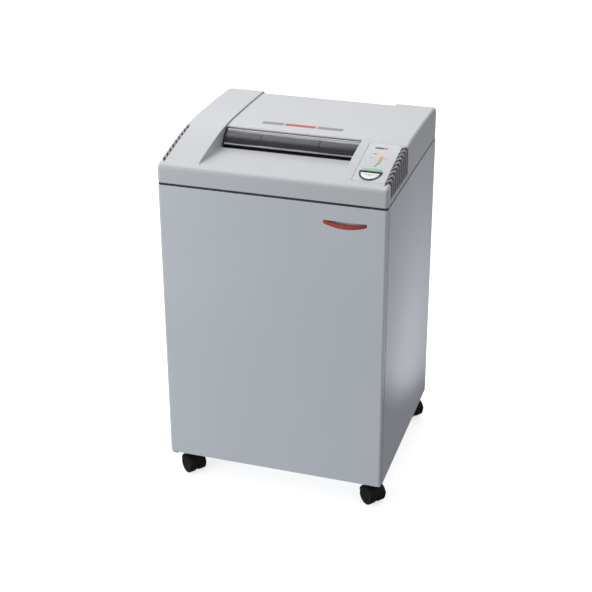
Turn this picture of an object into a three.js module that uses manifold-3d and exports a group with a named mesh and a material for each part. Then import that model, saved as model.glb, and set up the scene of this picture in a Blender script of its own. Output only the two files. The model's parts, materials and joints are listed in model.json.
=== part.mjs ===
// Office paper shredder on casters: cabinet with a front door, shredding head with a sloping
// infeed tray, safety shield, control rocker, geared cutting cylinders and a shred bin.
// Millimetres, +Z up. The origin is on the floor, under the middle of the shredder.
// +X is to the right of a person who faces the door, and -Y points at that person.

import * as THREE from 'three';
import { mergeVertices } from 'three/addons/utils/BufferGeometryUtils.js';
import Module from 'manifold-3d';

const wasm = await Module();
wasm.setup();

// ---- Driving dimensions ----

const width = 616; // cabinet and head, side to side
const depth = 556; // door face to rear face
const cabinetHeight = 820; // bottom edge of the panels to their top edge
const casterHeight = 68; // floor to the bottom edge of the panels
const seamGap = 5; // dark gap between the cabinet and the head
const board = 16; // thickness of the cabinet boards
const doorThickness = 19;
const wall = 4; // thickness of the head casing
const fit = 0.3; // gap between pieces that rest on each other

const half = width / 2;
const back = depth / 2;
const front = -depth / 2;
const seam = casterHeight + cabinetHeight; // height of the cabinet's top edge

// Infeed tray and slot, heights above the seam
const tray = { left: -200, right: 180, rear: -86, floor: 44, lip: 58 };
const slotRear = -44;

// Centre hood, set lower than the wings beside it
const hood = { left: -200, right: 195, front: -41.5, drop: 5, thickness: 4 };

// Paper path: the nip between the cutting cylinders, and the tilt of their line of centres
const nip = { y: -2, z: 34 };
const nipTilt = THREE.MathUtils.degToRad(65);
const cutters = { left: -193, right: 173, disc: 26, core: 22, shaft: 9, cells: 12 };

// Gears: module and tooth counts
const cutterGear = { module: 3.5, teeth: 14 };
const smallPinion = { module: 3.5, teeth: 10 };
const largeWheel = { module: 1.875, teeth: 40 };
const motorGear = { module: 1.875, teeth: 10 };
const gearX = { coarse: 193, fine: 208 }; // left faces of the two gear planes
const gearWidth = { coarse: 12, fine: 8 };

// Door pivots: vertical axis near the left end of the door
const pivot = { x: -half + 12, y: front + doorThickness / 2, radius: 3 };

// Casters: stem positions, wheel size and how far the axle trails the stem
const caster = { x: 265, y: 235, wheel: 26, trail: 18, stem: 5.5, axle: 4 };
const casterHeading = THREE.MathUtils.degToRad(-38);

// ---- Solids ----

// Turns a closed three.js geometry into a solid for cutting and joining.
function solid(geometry) {
  const bare = geometry.clone();
  bare.deleteAttribute('normal');
  bare.deleteAttribute('uv');
  const merged = mergeVertices(bare, 1e-4);
  const points = merged.attributes.position.array;
  const faces = Array.from(merged.index.array);
  const triangles = [];
  let volume = 0;
  for (let i = 0; i < faces.length; i += 3) {
    const [a, b, c] = faces.slice(i, i + 3);
    if (a === b || b === c || c === a) continue;
    triangles.push(a, b, c);
    const [va, vb, vc] = [a, b, c].map((k) => new THREE.Vector3().fromArray(points, 3 * k));
    volume += va.dot(vb.cross(vc));
  }
  if (volume < 0) triangles.reverse();
  return new wasm.Manifold(new wasm.Mesh({
    numProp: 3,
    vertProperties: new Float32Array(points),
    triVerts: new Uint32Array(triangles),
  }));
}

// Turns a solid back into a geometry.
function geometryOf(body) {
  const mesh = body.getMesh();
  const geometry = new THREE.BufferGeometry();
  geometry.setAttribute('position', new THREE.BufferAttribute(new Float32Array(mesh.vertProperties), 3));
  geometry.setIndex(new THREE.BufferAttribute(new Uint32Array(mesh.triVerts), 1));
  geometry.computeVertexNormals();
  return geometry;
}

const union = (...bodies) => bodies.reduce((a, b) => a.add(b));
const cut = (body, ...tools) => tools.reduce((a, b) => a.subtract(b), body);

function box(x0, x1, y0, y1, z0, z1) {
  const geometry = new THREE.BoxGeometry(x1 - x0, y1 - y0, z1 - z0);
  geometry.translate((x0 + x1) / 2, (y0 + y1) / 2, (z0 + z1) / 2);
  return solid(geometry);
}

// A bar along X, Y or Z with a regular section, from a to b, centred on the two other coordinates.
function rod(axis, radius, a, b, centre = [0, 0], sides = 16) {
  const geometry = new THREE.CylinderGeometry(radius, radius, b - a, sides);
  const middle = (a + b) / 2;
  if (axis === 'x') {
    geometry.rotateZ(-Math.PI / 2);
    geometry.translate(middle, centre[0], centre[1]);
  } else if (axis === 'y') {
    geometry.translate(centre[0], middle, centre[1]);
  } else {
    geometry.rotateX(Math.PI / 2);
    geometry.translate(centre[0], centre[1], middle);
  }
  return solid(geometry);
}

// A body turned about the X axis, from [radius, x] points that close on themselves or on the axis.
function turned(profile, segments = 24) {
  const geometry = new THREE.LatheGeometry(profile.map(([r, x]) => new THREE.Vector2(r, x)), segments);
  geometry.rotateZ(-Math.PI / 2);
  return solid(geometry);
}

function ring(profile, segments) {
  return turned([...profile, profile[0]], segments);
}

function shapeOf(points) {
  return new THREE.Shape(points.map(([a, b]) => new THREE.Vector2(a, b)));
}

// The three ways to extrude an outline. Outlines are [y, z], [x, z] or [x, y].
const alongX = new THREE.Matrix4().set(0, 0, 1, 0, 1, 0, 0, 0, 0, 1, 0, 0, 0, 0, 0, 1);
const alongY = new THREE.Matrix4().set(1, 0, 0, 0, 0, 0, -1, 0, 0, 1, 0, 0, 0, 0, 0, 1);

function extrude(outline, length, round = 0) {
  const shape = outline instanceof THREE.Shape ? outline : shapeOf(outline);
  return new THREE.ExtrudeGeometry(shape, {
    depth: length - 2 * round,
    bevelEnabled: round > 0,
    bevelThickness: round,
    bevelSize: round,
    bevelOffset: -round,
    bevelSegments: 3,
    curveSegments: 12,
  }).translate(0, 0, round);
}

function prismX(outline, x0, x1, round = 0) {
  return solid(extrude(outline, x1 - x0, round).applyMatrix4(alongX).translate(x0, 0, 0));
}

function prismY(outline, y0, y1) {
  return solid(extrude(outline, y1 - y0).applyMatrix4(alongY).translate(0, y1, 0));
}

function prismZ(outline, z0, z1) {
  return solid(extrude(outline, z1 - z0).translate(0, 0, z0));
}

// Moves each corner of a counter-clockwise outline inwards by the same distance from both sides.
function inset(points, distance) {
  return points.map((p, i) => {
    const before = points[(i + points.length - 1) % points.length];
    const after = points[(i + 1) % points.length];
    const a = new THREE.Vector2(p[0] - before[0], p[1] - before[1]).normalize();
    const b = new THREE.Vector2(after[0] - p[0], after[1] - p[1]).normalize();
    const normal = new THREE.Vector2(-a.y - b.y, a.x + b.x).normalize();
    const reach = distance / Math.max(0.3, normal.dot(new THREE.Vector2(-a.y, a.x)));
    return [p[0] + normal.x * reach, p[1] + normal.y * reach];
  });
}

// Outline of a rounded rectangle in a plane.
function roundedRectangle(x0, x1, y0, y1, radius) {
  const shape = new THREE.Shape();
  shape.moveTo(x0 + radius, y0);
  shape.lineTo(x1 - radius, y0);
  shape.absarc(x1 - radius, y0 + radius, radius, -Math.PI / 2, 0);
  shape.lineTo(x1, y1 - radius);
  shape.absarc(x1 - radius, y1 - radius, radius, 0, Math.PI / 2);
  shape.lineTo(x0 + radius, y1);
  shape.absarc(x0 + radius, y1 - radius, radius, Math.PI / 2, Math.PI);
  shape.lineTo(x0, y0 + radius);
  shape.absarc(x0 + radius, y0 + radius, radius, Math.PI, 1.5 * Math.PI);
  return shapeOf(shape.getPoints(3).slice(0, -1).map((p) => [p.x, p.y]));
}

// Radius of a bore whose flats clear a shaft of the given radius.
function boreFor(shaft, sides, clearance = 0.06) {
  return (shaft + clearance) / Math.cos(Math.PI / sides);
}

// ---- Looks ----

function finish(color, roughness, metalness = 0) {
  return new THREE.MeshStandardMaterial({ color, roughness, metalness });
}

const looks = {
  panel: () => finish(0xa9b0b8, 0.45),
  casing: () => finish(0xd6d8da, 0.4),
  dark: () => finish(0x1c1c1f, 0.5),
  smoke: () => finish(0x4a4650, 0.1),
  red: () => finish(0xb03a20, 0.35),
  silver: () => finish(0xe8ebef, 0.3, 0.2),
  steel: () => finish(0x9a9da1, 0.35, 0.9),
  plated: () => finish(0xb8bbbe, 0.4, 0.8),
  board: () => finish(0x2f6b3c, 0.6),
  green: () => finish(0xa8e0b0, 0.3),
  orange: () => finish(0xe0a050, 0.3),
  motor: () => finish(0x3a4a5c, 0.5, 0.3),
  bin: () => finish(0x8c8f93, 0.6),
  rubber: () => finish(0x161617, 0.7),
};

const shredder = new THREE.Group();

function add(group, name, body, look, x = 0, y = 0, z = 0) {
  const mesh = new THREE.Mesh(body.isBufferGeometry ? body : geometryOf(body), looks[look]());
  mesh.name = name;
  mesh.position.set(x, y, z);
  group.add(mesh);
  return mesh;
}

// ---- Cabinet: heights in this group start at the bottom edge of the panels ----

const cabinet = new THREE.Group();
cabinet.position.z = casterHeight;
shredder.add(cabinet);

const inside = half - board - fit; // half of the width that the cross boards fill
const sideFront = front + doorThickness + 3.5; // front edge of the side panels
const boardFront = front + doorThickness + 5; // front edge of the cross boards
const rearFace = back - board; // inner face of the rear panel

function sidePanel(x0) {
  const outline = roundedRectangle(x0, x0 + board, sideFront, back, 2);
  return prismZ(outline, 0, cabinetHeight);
}

add(cabinet, 'left_side_panel', sidePanel(-half), 'panel');
add(cabinet, 'right_side_panel', sidePanel(half - board), 'panel');
add(cabinet, 'rear_panel', box(-inside, inside, rearFace, back, 0, cabinetHeight), 'panel');

const stemTop = 12.5; // how far a caster stem reaches into the base board
const casterStems = [
  { name: 'front_left', x: -caster.x, y: -caster.y, heading: casterHeading },
  { name: 'front_right', x: caster.x, y: -caster.y, heading: casterHeading },
  { name: 'rear_right', x: caster.x, y: caster.y, heading: casterHeading },
  { name: 'rear_left', x: -caster.x, y: caster.y, heading: casterHeading + Math.PI },
];

const stemBores = casterStems.map(({ x, y }) =>
  rod('z', boreFor(caster.stem, 16), -1, stemTop + 0.5, [x, y]));
const baseBoard = cut(box(-inside, inside, boardFront, rearFace - fit, 0, board), ...stemBores);
add(cabinet, 'base_board', baseBoard, 'panel');

// The top board carries the head. Its opening lets the shreds and the lowest gear through.
const boardOpening = { left: -212, right: 214, front: -48, rear: 68 };
const topBoard = cut(
  box(-inside, inside, boardFront, rearFace - fit, cabinetHeight - board, cabinetHeight),
  box(boardOpening.left, boardOpening.right, boardOpening.front, boardOpening.rear,
    cabinetHeight - board - 1, cabinetHeight + 1),
);
add(cabinet, 'top_board', topBoard, 'panel');

// Chute: a square duct below the top board that leads the shreds into the bin.
const chuteTop = cabinetHeight - board - fit;
const chuteDrop = 85;
const chute = cut(
  box(boardOpening.left - 4, boardOpening.right + 4, boardOpening.front - 4,
    boardOpening.rear + 4, chuteTop - chuteDrop, chuteTop),
  box(boardOpening.left - 1, boardOpening.right + 1, boardOpening.front - 1,
    boardOpening.rear + 1, chuteTop - chuteDrop - 1, chuteTop + 1),
);
add(cabinet, 'shred_chute', chute, 'dark');

// Bin: an open box with a hand hole in its front and its rear wall.
const bin = { x: 255, y: 243, floor: board + fit, top: 590, wall: 3 };
const handHole = (y0, y1) => prismY(
  roundedRectangle(-55, 55, bin.top - 70, bin.top - 35, 14), y0, y1);
const binBody = cut(
  box(-bin.x, bin.x, -bin.y, bin.y, bin.floor, bin.top),
  box(-bin.x + bin.wall, bin.x - bin.wall, -bin.y + bin.wall, bin.y - bin.wall,
    bin.floor + bin.wall, bin.top + 1),
  handHole(-bin.y - 1, -bin.y + bin.wall + 1),
  handHole(bin.y - bin.wall - 1, bin.y + 1),
);
add(cabinet, 'shred_bin', binBody, 'bin');

// Catch and door switch hang under the front edge of the top board.
const underTop = cabinetHeight - board - fit;
add(cabinet, 'magnetic_catch',
  box(232, 278, front + doorThickness + 2.8, -238, underTop - 14, underTop), 'dark');
add(cabinet, 'door_switch',
  box(176, 206, front + doorThickness + 2.8, -236, underTop - 16, underTop), 'dark');

// ---- Door and its pivots ----

const door = new THREE.Group();
door.position.z = casterHeight;
shredder.add(door);

const doorBottom = 2;
const doorTop = cabinetHeight - 1;
const pivotDepth = 12;

function doorOutline() {
  return roundedRectangle(-half, half, front, front + doorThickness, 8);
}

// The handle is a smile-shaped scoop in a pocket of the door; fingers reach in above its lip.
const grip = { x: 198.5, z: cabinetHeight - 47, half: 57, tip: 3, heel: -6, fall: 17.5, depth: 12 };

// Outline between blunt tips: a sagging or level upper edge over a deeper lower arc.
function smile(trim, upperSag) {
  const [w, tip, heel] = [grip.half - trim, grip.tip - trim, grip.heel + trim];
  const lowest = -2 * (grip.fall - trim) - heel;
  const shape = new THREE.Shape();
  shape.moveTo(-w, heel);
  shape.quadraticCurveTo(0, lowest, w, heel);
  shape.lineTo(w, tip);
  shape.quadraticCurveTo(0, tip - 2 * upperSag, -w, tip);
  return shapeOf(shape.getPoints(10).map((p) => [grip.x + p.x, grip.z + p.y]));
}

const doorBody = cut(
  prismZ(doorOutline(), doorBottom, doorTop),
  prismY(smile(0, 0.7), front - 1, front + grip.depth),
  rod('z', boreFor(pivot.radius, 16, 0.1), doorBottom - 1, doorBottom + pivotDepth + 1,
    [pivot.x, pivot.y]),
  rod('z', boreFor(pivot.radius, 16, 0.1), doorTop - pivotDepth - 1, doorTop + 1,
    [pivot.x, pivot.y]),
);
add(door, 'front_door', doorBody, 'panel');
add(door, 'door_handle', prismY(smile(0.4, 7.8), front + 0.2, front + grip.depth - fit), 'red');

const doorBack = front + doorThickness;
add(door, 'strike_plate', box(238, 272, doorBack + fit, doorBack + 1.8, 789, 802), 'plated');
add(door, 'door_switch_magnet', box(181, 201, doorBack + fit, doorBack + 2.2, 788, 802), 'dark');

// Each pivot bracket is a plate on the cabinet with a pin that stands into the door's bore.
const plate = { x0: pivot.x - 8, x1: pivot.x + 12, y0: pivot.y - 7, y1: -226, thick: 2.2 };
const pivotPlate = (z0, z1) => box(plate.x0, plate.x1, plate.y0, plate.y1, z0, z1);
const lowerBracket = union(
  pivotPlate(-fit - plate.thick, -fit),
  rod('z', pivot.radius, -fit - 1, doorBottom + pivotDepth, [pivot.x, pivot.y]),
);
const upperBracket = union(
  pivotPlate(cabinetHeight + fit, cabinetHeight + fit + plate.thick),
  rod('z', pivot.radius, doorTop - pivotDepth, cabinetHeight + fit + 1, [pivot.x, pivot.y]),
);
add(cabinet, 'lower_hinge_bracket', lowerBracket, 'plated');
add(cabinet, 'upper_hinge_bracket', upperBracket, 'plated');

// ---- Head: heights in this group start at the seam ----

const head = new THREE.Group();
head.position.z = seam;
shredder.add(head);

// Side view of the head: the top climbs in one long curve from the fascia to a flat rear part.
const topStart = new THREE.Vector2(-265, 57);
const topEnd = new THREE.Vector2(20, 100);
const topCurve = new THREE.CubicBezierCurve(
  topStart, new THREE.Vector2(-190, 74), new THREE.Vector2(-90, 100), topEnd);
const slope = topCurve.getPoints(10).map((p) => [p.x, p.y]);
const crown = [[150, 99.2], [250, 96.5]];
const frontCorner = new THREE.QuadraticBezierCurve(
  new THREE.Vector2(-277, 44), new THREE.Vector2(-277, 54), topStart)
  .getPoints(4).slice(0, -1).map((p) => [p.x, p.y]);
const rearCorner = new THREE.QuadraticBezierCurve(
  new THREE.Vector2(258, 96), new THREE.Vector2(back, 95), new THREE.Vector2(back, 76))
  .getPoints(4).map((p) => [p.x, p.y]);

// Outline in the order front bottom, rear bottom, rear top, front top.
const below = -40;
const sideView = [
  [front, below],
  [back, below],
  ...[...frontCorner, ...slope, ...crown, ...rearCorner].reverse(),
];

// Height of the head's top surface above the seam at a depth y.
function topAt(y) {
  const line = [...slope, ...crown];
  const next = Math.max(1, line.findIndex((p) => p[0] >= y));
  const [a, b] = [line[next - 1], line[next]];
  return a[1] + (b[1] - a[1]) * (y - a[0]) / (b[0] - a[0]);
}

// A layer that follows the top surface between two depths, from low to high above it.
function layer(x0, x1, y0, y1, low, high) {
  const middle = slope.filter((p) => p[0] > y0 && p[0] < y1);
  const line = [[y0, topAt(y0)], ...middle, [y1, topAt(y1)]];
  const lower = line.map(([y, z]) => [y, z + low]);
  const upper = line.map(([y, z]) => [y, z + high]).reverse();
  return prismX([...lower, ...upper], x0, x1);
}

// Control panel on the right wing
const panel = { x0: 206, x1: 292, y0: -250, y1: -64, thickness: 1.6 };
const rocker = { x: 245.5, y: -225, half: 26.5, flat: 17, arc: 17, wall: 3, depth: 14, pivot: -5 };
const pinReach = rocker.half - 0.8;
rocker.z = topAt(rocker.y);
rocker.tilt = Math.atan2(topAt(rocker.y + 15) - topAt(rocker.y - 15), 30);

// Half-moon outline in the rocker's own plane: a straight upper edge over a half ellipse.
function halfMoon(halfWidth, flat, arc) {
  const shape = new THREE.Shape();
  shape.moveTo(halfWidth, flat);
  shape.lineTo(-halfWidth, flat);
  shape.absellipse(0, flat, halfWidth, flat + arc, Math.PI, 2 * Math.PI);
  return shapeOf(shape.getPoints(14).slice(0, -1)
    .filter((p, i, all) => i === 0 || p.distanceTo(all[i - 1]) > 0.01)
    .map((p) => [p.x, p.y]));
}

// Lays a body that is built flat at the origin onto the sloping wing, at the rocker.
function onWing(body) {
  const turn = new THREE.Matrix4().makeRotationX(rocker.tilt);
  turn.setPosition(rocker.x, rocker.y, rocker.z);
  return solid(geometryOf(body).applyMatrix4(turn));
}

const wellHole = onWing(prismZ(halfMoon(rocker.half + rocker.wall + fit,
  rocker.flat + rocker.wall + fit, rocker.arc + rocker.wall + fit), -30, 30));

const panelOutline = (grow) => prismZ(roundedRectangle(panel.x0 - grow, panel.x1 + grow,
  panel.y0 - grow, panel.y1 + grow, 5), -50, 150);
const panelRecess = layer(panel.x0 - 10, panel.x1 + 10, -260, -50, -panel.thickness - fit, 30)
  .intersect(panelOutline(fit));

// Vent slots cut through the outer edge of both wings.
const vent = { count: 9, pitch: 20.5, first: -244, width: 9, inner: 293, bottom: 23 };
function ventSlot(side, index) {
  const y = vent.first + index * vent.pitch;
  const [x0, x1] = side < 0 ? [-half - 5, -vent.inner] : [vent.inner, half + 5];
  return box(x0, x1, y - vent.width / 2, y + vent.width / 2, vent.bottom, 140);
}
const vents = [-1, 1].flatMap((side) =>
  Array.from({ length: vent.count }, (_, index) => ventSlot(side, index)));

// Inlet and mains switch sit in the rear wall.
const inlet = { x: 238, z: 40, half: 23, high: 11.5 };
const mains = { x: 184, z: 40, half: 10, high: 14 };
const rearHole = ({ x, z, half: w, high: h }) =>
  box(x - w - fit, x + w + fit, back - 20, back + 20, z - h - fit, z + h + fit);

// Hood: a plate that follows the top, with a turned-down front edge and rear edge.
const hoodTop = [
  [hood.front, topAt(hood.front) - hood.drop - 2.5],
  [hood.front + 3, topAt(hood.front + 3) - hood.drop],
  [0, topAt(0) - hood.drop],
  ...crown.map(([y, z]) => [y, z - hood.drop]),
  [262, 90],
  [270, 88],
  [275.5, 83.5],
];
const hoodUnder = [
  [hood.front, topAt(hood.front) - hood.drop - hood.thickness - 1],
  [hood.front + 4, topAt(hood.front) - hood.drop - hood.thickness],
  [0, topAt(0) - hood.drop - hood.thickness],
  ...crown.map(([y, z]) => [y, z - hood.drop - hood.thickness]),
  [262, 90 - hood.thickness],
  [back - 6, 82.5],
  [back - 0.5, 79],
];
const hoodPanel = prismX([...hoodUnder, ...[...hoodTop].reverse()],
  hood.left + 0.8, hood.right - 0.8);

// The space over the underside of the hood, which the casing leaves open.
const lowered = hoodUnder.map(([y, z]) => [y, z - fit]);
const hoodCut = prismX([
  [hood.front - fit, lowered[0][1]],
  ...lowered,
  [back + 10, lowered[lowered.length - 1][1]],
  [back + 10, 140],
  [hood.front - fit, 140],
], hood.left, hood.right);

// The space over the tray's floor, which rises from the slot to the fascia's upper edge.
function traySpace(grow) {
  return prismX([
    [front, tray.lip - grow],
    [slotRear + grow, tray.floor - grow],
    [slotRear + grow, 150],
    [front, 150],
  ], tray.left - grow, tray.right + grow);
}

function headCasing() {
  const outer = prismX(sideView, -half, half, 9).intersect(
    box(-half, half, front, back, seamGap, 150));
  const inner = prismX(inset(sideView, wall), -half + wall, half - wall, 6);
  const lip = 8;
  const trayWall = traySpace(wall);
  const hoodRest = 87;
  const hollow = cut(
    inner.intersect(box(-half, half, front, back, seamGap + 3, 150)),
    trayWall,
    box(hood.left - wall, hood.left, slotRear, back, hoodRest, 150),
    box(hood.right, hood.right + wall, slotRear, back, hoodRest, 150),
  );
  return cut(
    outer,
    hollow,
    box(-half + wall + lip, half - wall - lip, front + wall + lip, back - wall - lip, 0, seamGap + 4),
    traySpace(0),
    box(tray.left, tray.right, tray.rear, slotRear + wall + 4, 10, 150),
    hoodCut,
    panelRecess,
    wellHole,
    rearHole(inlet),
    rearHole(mains),
    ...vents,
  );
}
add(head, 'head_casing', headCasing(), 'casing');

add(head, 'hood_panel', hoodPanel, 'casing');

// Throat: end walls that carry the shield's rod, and a guide plate that leads paper to the nip.
const shield = { y: -48, z: 84, barrel: 4.2, rod: 2.2, left: -193.9, right: 173.9 };
const throatEnd = [[-84, 25], [-38, 25], [-38, 74], [-43.4, 77], [-43.4, 90], [-52, 90], [-85, 49]];
const throatLeft = tray.left + fit;
const throatRight = tray.right - fit;
const guide = [[-85, 42], [-40, 33], [-40, 36], [-85, 45.5]];
const throat = cut(
  union(
    prismX(throatEnd, throatLeft, throatLeft + 5),
    prismX(throatEnd, throatRight - 5, throatRight),
    prismX(guide, throatLeft + 1, throatRight - 1),
    box(throatLeft + 1, throatRight - 1, -42, -38.5, 66, 74),
  ),
  rod('x', shield.rod + 0.4, throatLeft - 1, throatRight + 1, [shield.y, shield.z], 12),
);
add(head, 'throat_frame', throat, 'dark');
add(head, 'shield_axle', rod('x', shield.rod, throatLeft + 1, throatRight - 1,
  [0, 0], 12), 'steel', 0, shield.y, shield.z);
add(head, 'paper_sensor', box(-18, 2, -72, -56, 24, 35), 'dark');

// Shield: a curved clear plate with a hinge barrel along its top and a bead along its lower edge.
function shieldBody() {
  const curve = new THREE.QuadraticBezierCurve(
    new THREE.Vector2(-2, 0), new THREE.Vector2(-27, -5), new THREE.Vector2(-34, -27));
  const line = curve.getPoints(7).map((p) => [p.x, p.y]);
  const inner = line.map(([y, z]) => [y + 1.6, z - 2]).reverse();
  return cut(
    union(
      prismX([...line, ...inner].reverse(), shield.left, shield.right),
      rod('x', shield.barrel, shield.left, shield.right, [0, 0], 16),
      rod('x', 2.2, shield.left, shield.right, [-33.4, -27.6], 10),
    ),
    rod('x', boreFor(shield.rod, 12, 0.1), shield.left - 1, shield.right + 1, [0, 0], 12),
  );
}
add(head, 'safety_shield', shieldBody(), 'smoke', 0, shield.y, shield.z);

// Control panel: a thin plate that follows the wing, with inlays for the light and the level bar.
const lightOutline = (grow) => prismZ(roundedRectangle(rocker.x - 26 - grow,
  rocker.x + 26 + grow, -202.5 - grow, -191.5 + grow, 4.5), -50, 150);

function barOutline(grow) {
  const line = new THREE.QuadraticBezierCurve(new THREE.Vector2(247, -182),
    new THREE.Vector2(258, -160), new THREE.Vector2(253, -132)).getPoints(6);
  const left = line.map((p, i) => [p.x - 2.2 - 0.45 * i - grow, p.y]);
  const right = line.map((p, i) => [p.x + 2.2 + 0.45 * i + grow, p.y]).reverse();
  left[0][1] -= grow;
  right[right.length - 1][1] -= grow;
  left[left.length - 1][1] += grow;
  right[0][1] += grow;
  return prismZ([...left, ...right].reverse(), -50, 150);
}

const skin = (low, high) => layer(panel.x0 - 10, panel.x1 + 10, -260, -50, low, high);
const panelPlate = cut(
  skin(-panel.thickness, 0).intersect(panelOutline(0)),
  wellHole,
  lightOutline(fit),
  barOutline(fit),
);
add(head, 'control_panel_plate', panelPlate, 'casing');
add(head, 'status_light', skin(-panel.thickness, 0.4).intersect(lightOutline(0)), 'green');
add(head, 'capacity_indicator', skin(-panel.thickness, 0.4).intersect(barOutline(0)), 'orange');

// Rocker: a half-moon button on a pin, in a half-moon cup. Built flat, then tilted in its group.
const rockerGroup = new THREE.Group();
rockerGroup.position.set(rocker.x, rocker.y, rocker.z);
rockerGroup.rotation.x = rocker.tilt;
head.add(rockerGroup);

const cup = cut(
  prismZ(halfMoon(rocker.half + rocker.wall, rocker.flat + rocker.wall, rocker.arc + rocker.wall),
    -rocker.depth, 1),
  prismZ(halfMoon(rocker.half, rocker.flat, rocker.arc), -rocker.depth + 2, 2),
  rod('x', 1.9, -40, 40, [4, rocker.pivot], 12),
);
const button = cut(
  prismZ(halfMoon(rocker.half - 0.6, rocker.flat - 1.6, rocker.arc - 1.8), -9, 2.4),
  rod('x', boreFor(1.5, 12), -40, 40, [4, rocker.pivot], 12),
);
add(rockerGroup, 'rocker_bezel', cup, 'dark');
add(rockerGroup, 'control_rocker', button, 'silver');
add(rockerGroup, 'rocker_pivot_pin', rod('x', 1.5, -pinReach, pinReach, [0, 0], 12), 'steel',
  0, 4, rocker.pivot);

add(head, 'control_board', union(
  box(204, 286, -172, -70, 34, 35.6),
  box(212, 240, -160, -132, 35, 44),
  box(250, 276, -120, -84, 35, 50),
), 'board');

// Inlet: a flanged block with a socket and three flat pins.
const inletPins = [[-7, -2], [0, 3], [7, -2]].map(([x, z]) =>
  box(inlet.x + x - 1, inlet.x + x + 1, back - 17, back - 3, inlet.z + z - 2, inlet.z + z + 2));
const inletBody = union(
  cut(
    union(
      box(inlet.x - 22.5, inlet.x + 22.5, back - 22, back + 1, inlet.z - 11, inlet.z + 11),
      box(inlet.x - 26, inlet.x + 26, back + fit, back + 2.3, inlet.z - 14, inlet.z + 14),
    ),
    box(inlet.x - 12, inlet.x + 12, back - 16, back + 5, inlet.z - 8, inlet.z + 8),
  ),
  ...inletPins,
);
add(head, 'mains_inlet', inletBody, 'dark');

// Mains switch: a frame with a see-saw rocker on stub pins.
const mainsBody = cut(
  union(
    box(-9.5, 9.5, -17, 1, -13.5, 13.5),
    box(-12, 12, fit, 2.3, -16, 16),
  ),
  box(-7.6, 7.6, -15, 5, -12, 12),
  rod('x', 1.9, -20, 20, [-5, 0], 12),
);
add(head, 'mains_switch_housing', mainsBody, 'dark', mains.x, back, mains.z);
const seesaw = union(
  prismX([[-9, -4], [-1, -10.6], [1.4, -10.4], [0.4, 0], [1.4, 10.4], [-1, 10.6], [-9, 4]], -7, 7),
  rod('x', 1.5, -9, 9, [-5, 0], 12),
);
const mainsRocker = add(head, 'mains_switch_rocker',
  geometryOf(seesaw).translate(0, 5, 0), 'dark', mains.x, back - 5, mains.z);
mainsRocker.rotation.x = THREE.MathUtils.degToRad(-8);

// ---- Drive: same heights as the head ----

const drive = new THREE.Group();
drive.position.z = seam;
shredder.add(drive);

const pitchRadius = ({ module, teeth }) => module * teeth / 2;
const towards = (from, angle, distance) => ({
  y: from.y + distance * Math.cos(angle),
  z: from.z + distance * Math.sin(angle),
});

const cutterRadius = pitchRadius(cutterGear);
const lower = towards(nip, nipTilt + Math.PI, cutterRadius);
const upper = towards(nip, nipTilt, cutterRadius);
const middleAngle = THREE.MathUtils.degToRad(-11);
const middle = towards(upper, middleAngle, cutterRadius + pitchRadius(smallPinion));
const motorAngle = THREE.MathUtils.degToRad(-5);
const motor = towards(middle, motorAngle, pitchRadius(largeWheel) + pitchRadius(motorGear));

// Chassis plate: carries the bearing plates, and is open under the cylinders and gears.
const chassis = cut(
  box(-302, 302, -272, 272, fit, seamGap - fit),
  box(-208, 211, -46, 66, -1, 6),
  box(-310, plate.x1 + 4, front, plate.y1 + 4, -1, 6),
);
add(drive, 'chassis_base_plate', chassis, 'plated');

// Bearing plates: bores for both cylinders; the right one also holds the gear axle and motor.
const rightBores = [
  rod('x', boreFor(cutters.shaft, 20), 180, 195, [upper.y, upper.z], 20),
  rod('x', boreFor(cutters.shaft, 20), 180, 195, [lower.y, lower.z], 20),
  rod('x', 6 + fit, 180, 195, [middle.y, middle.z], 16),
  rod('x', 7, 180, 195, [motor.y, motor.z], 16),
];
const leftBores = [
  rod('x', boreFor(cutters.shaft, 20), -210, -195, [upper.y, upper.z], 20),
  rod('x', boreFor(cutters.shaft, 20), -210, -195, [lower.y, lower.z], 20),
];
const plateOutline = (rear) =>
  [[-36, -12], [20, -12], [20, seamGap], [rear, seamGap], [rear, 84], [-36, 84]];
add(drive, 'bearing_plate_right', cut(prismX(plateOutline(142), 184.6, 190.6), ...rightBores), 'steel');
add(drive, 'bearing_plate_left', cut(prismX(plateOutline(70), -206, -200), ...leftBores), 'steel');

// Cutting cylinder: discs on every second cell; the other cylinder's discs run in the gaps.
const cell = (cutters.right - cutters.left) / cutters.cells;
function cuttingCylinder(firstCell) {
  const profile = [[0, -205.4], [cutters.shaft, -205.4], [cutters.shaft, cutters.left - 3]];
  profile.push([cutters.core, cutters.left - 3]);
  for (let k = firstCell; k < cutters.cells; k += 2) {
    const from = cutters.left + k * cell + 0.45;
    const to = from + cell - 0.9;
    profile.push([cutters.core, from], [cutters.disc, from], [cutters.disc, to], [cutters.core, to]);
  }
  profile.push([cutters.core, cutters.right + 3], [cutters.shaft, cutters.right + 3]);
  profile.push([cutters.shaft, gearX.coarse + gearWidth.coarse + 1]);
  profile.push([0, gearX.coarse + gearWidth.coarse + 1]);
  return turned(profile, 16);
}
add(drive, 'upper_cutting_cylinder', cuttingCylinder(0), 'steel', 0, upper.y, upper.z);
add(drive, 'lower_cutting_cylinder', cuttingCylinder(1), 'steel', 0, lower.y, lower.z);

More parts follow.
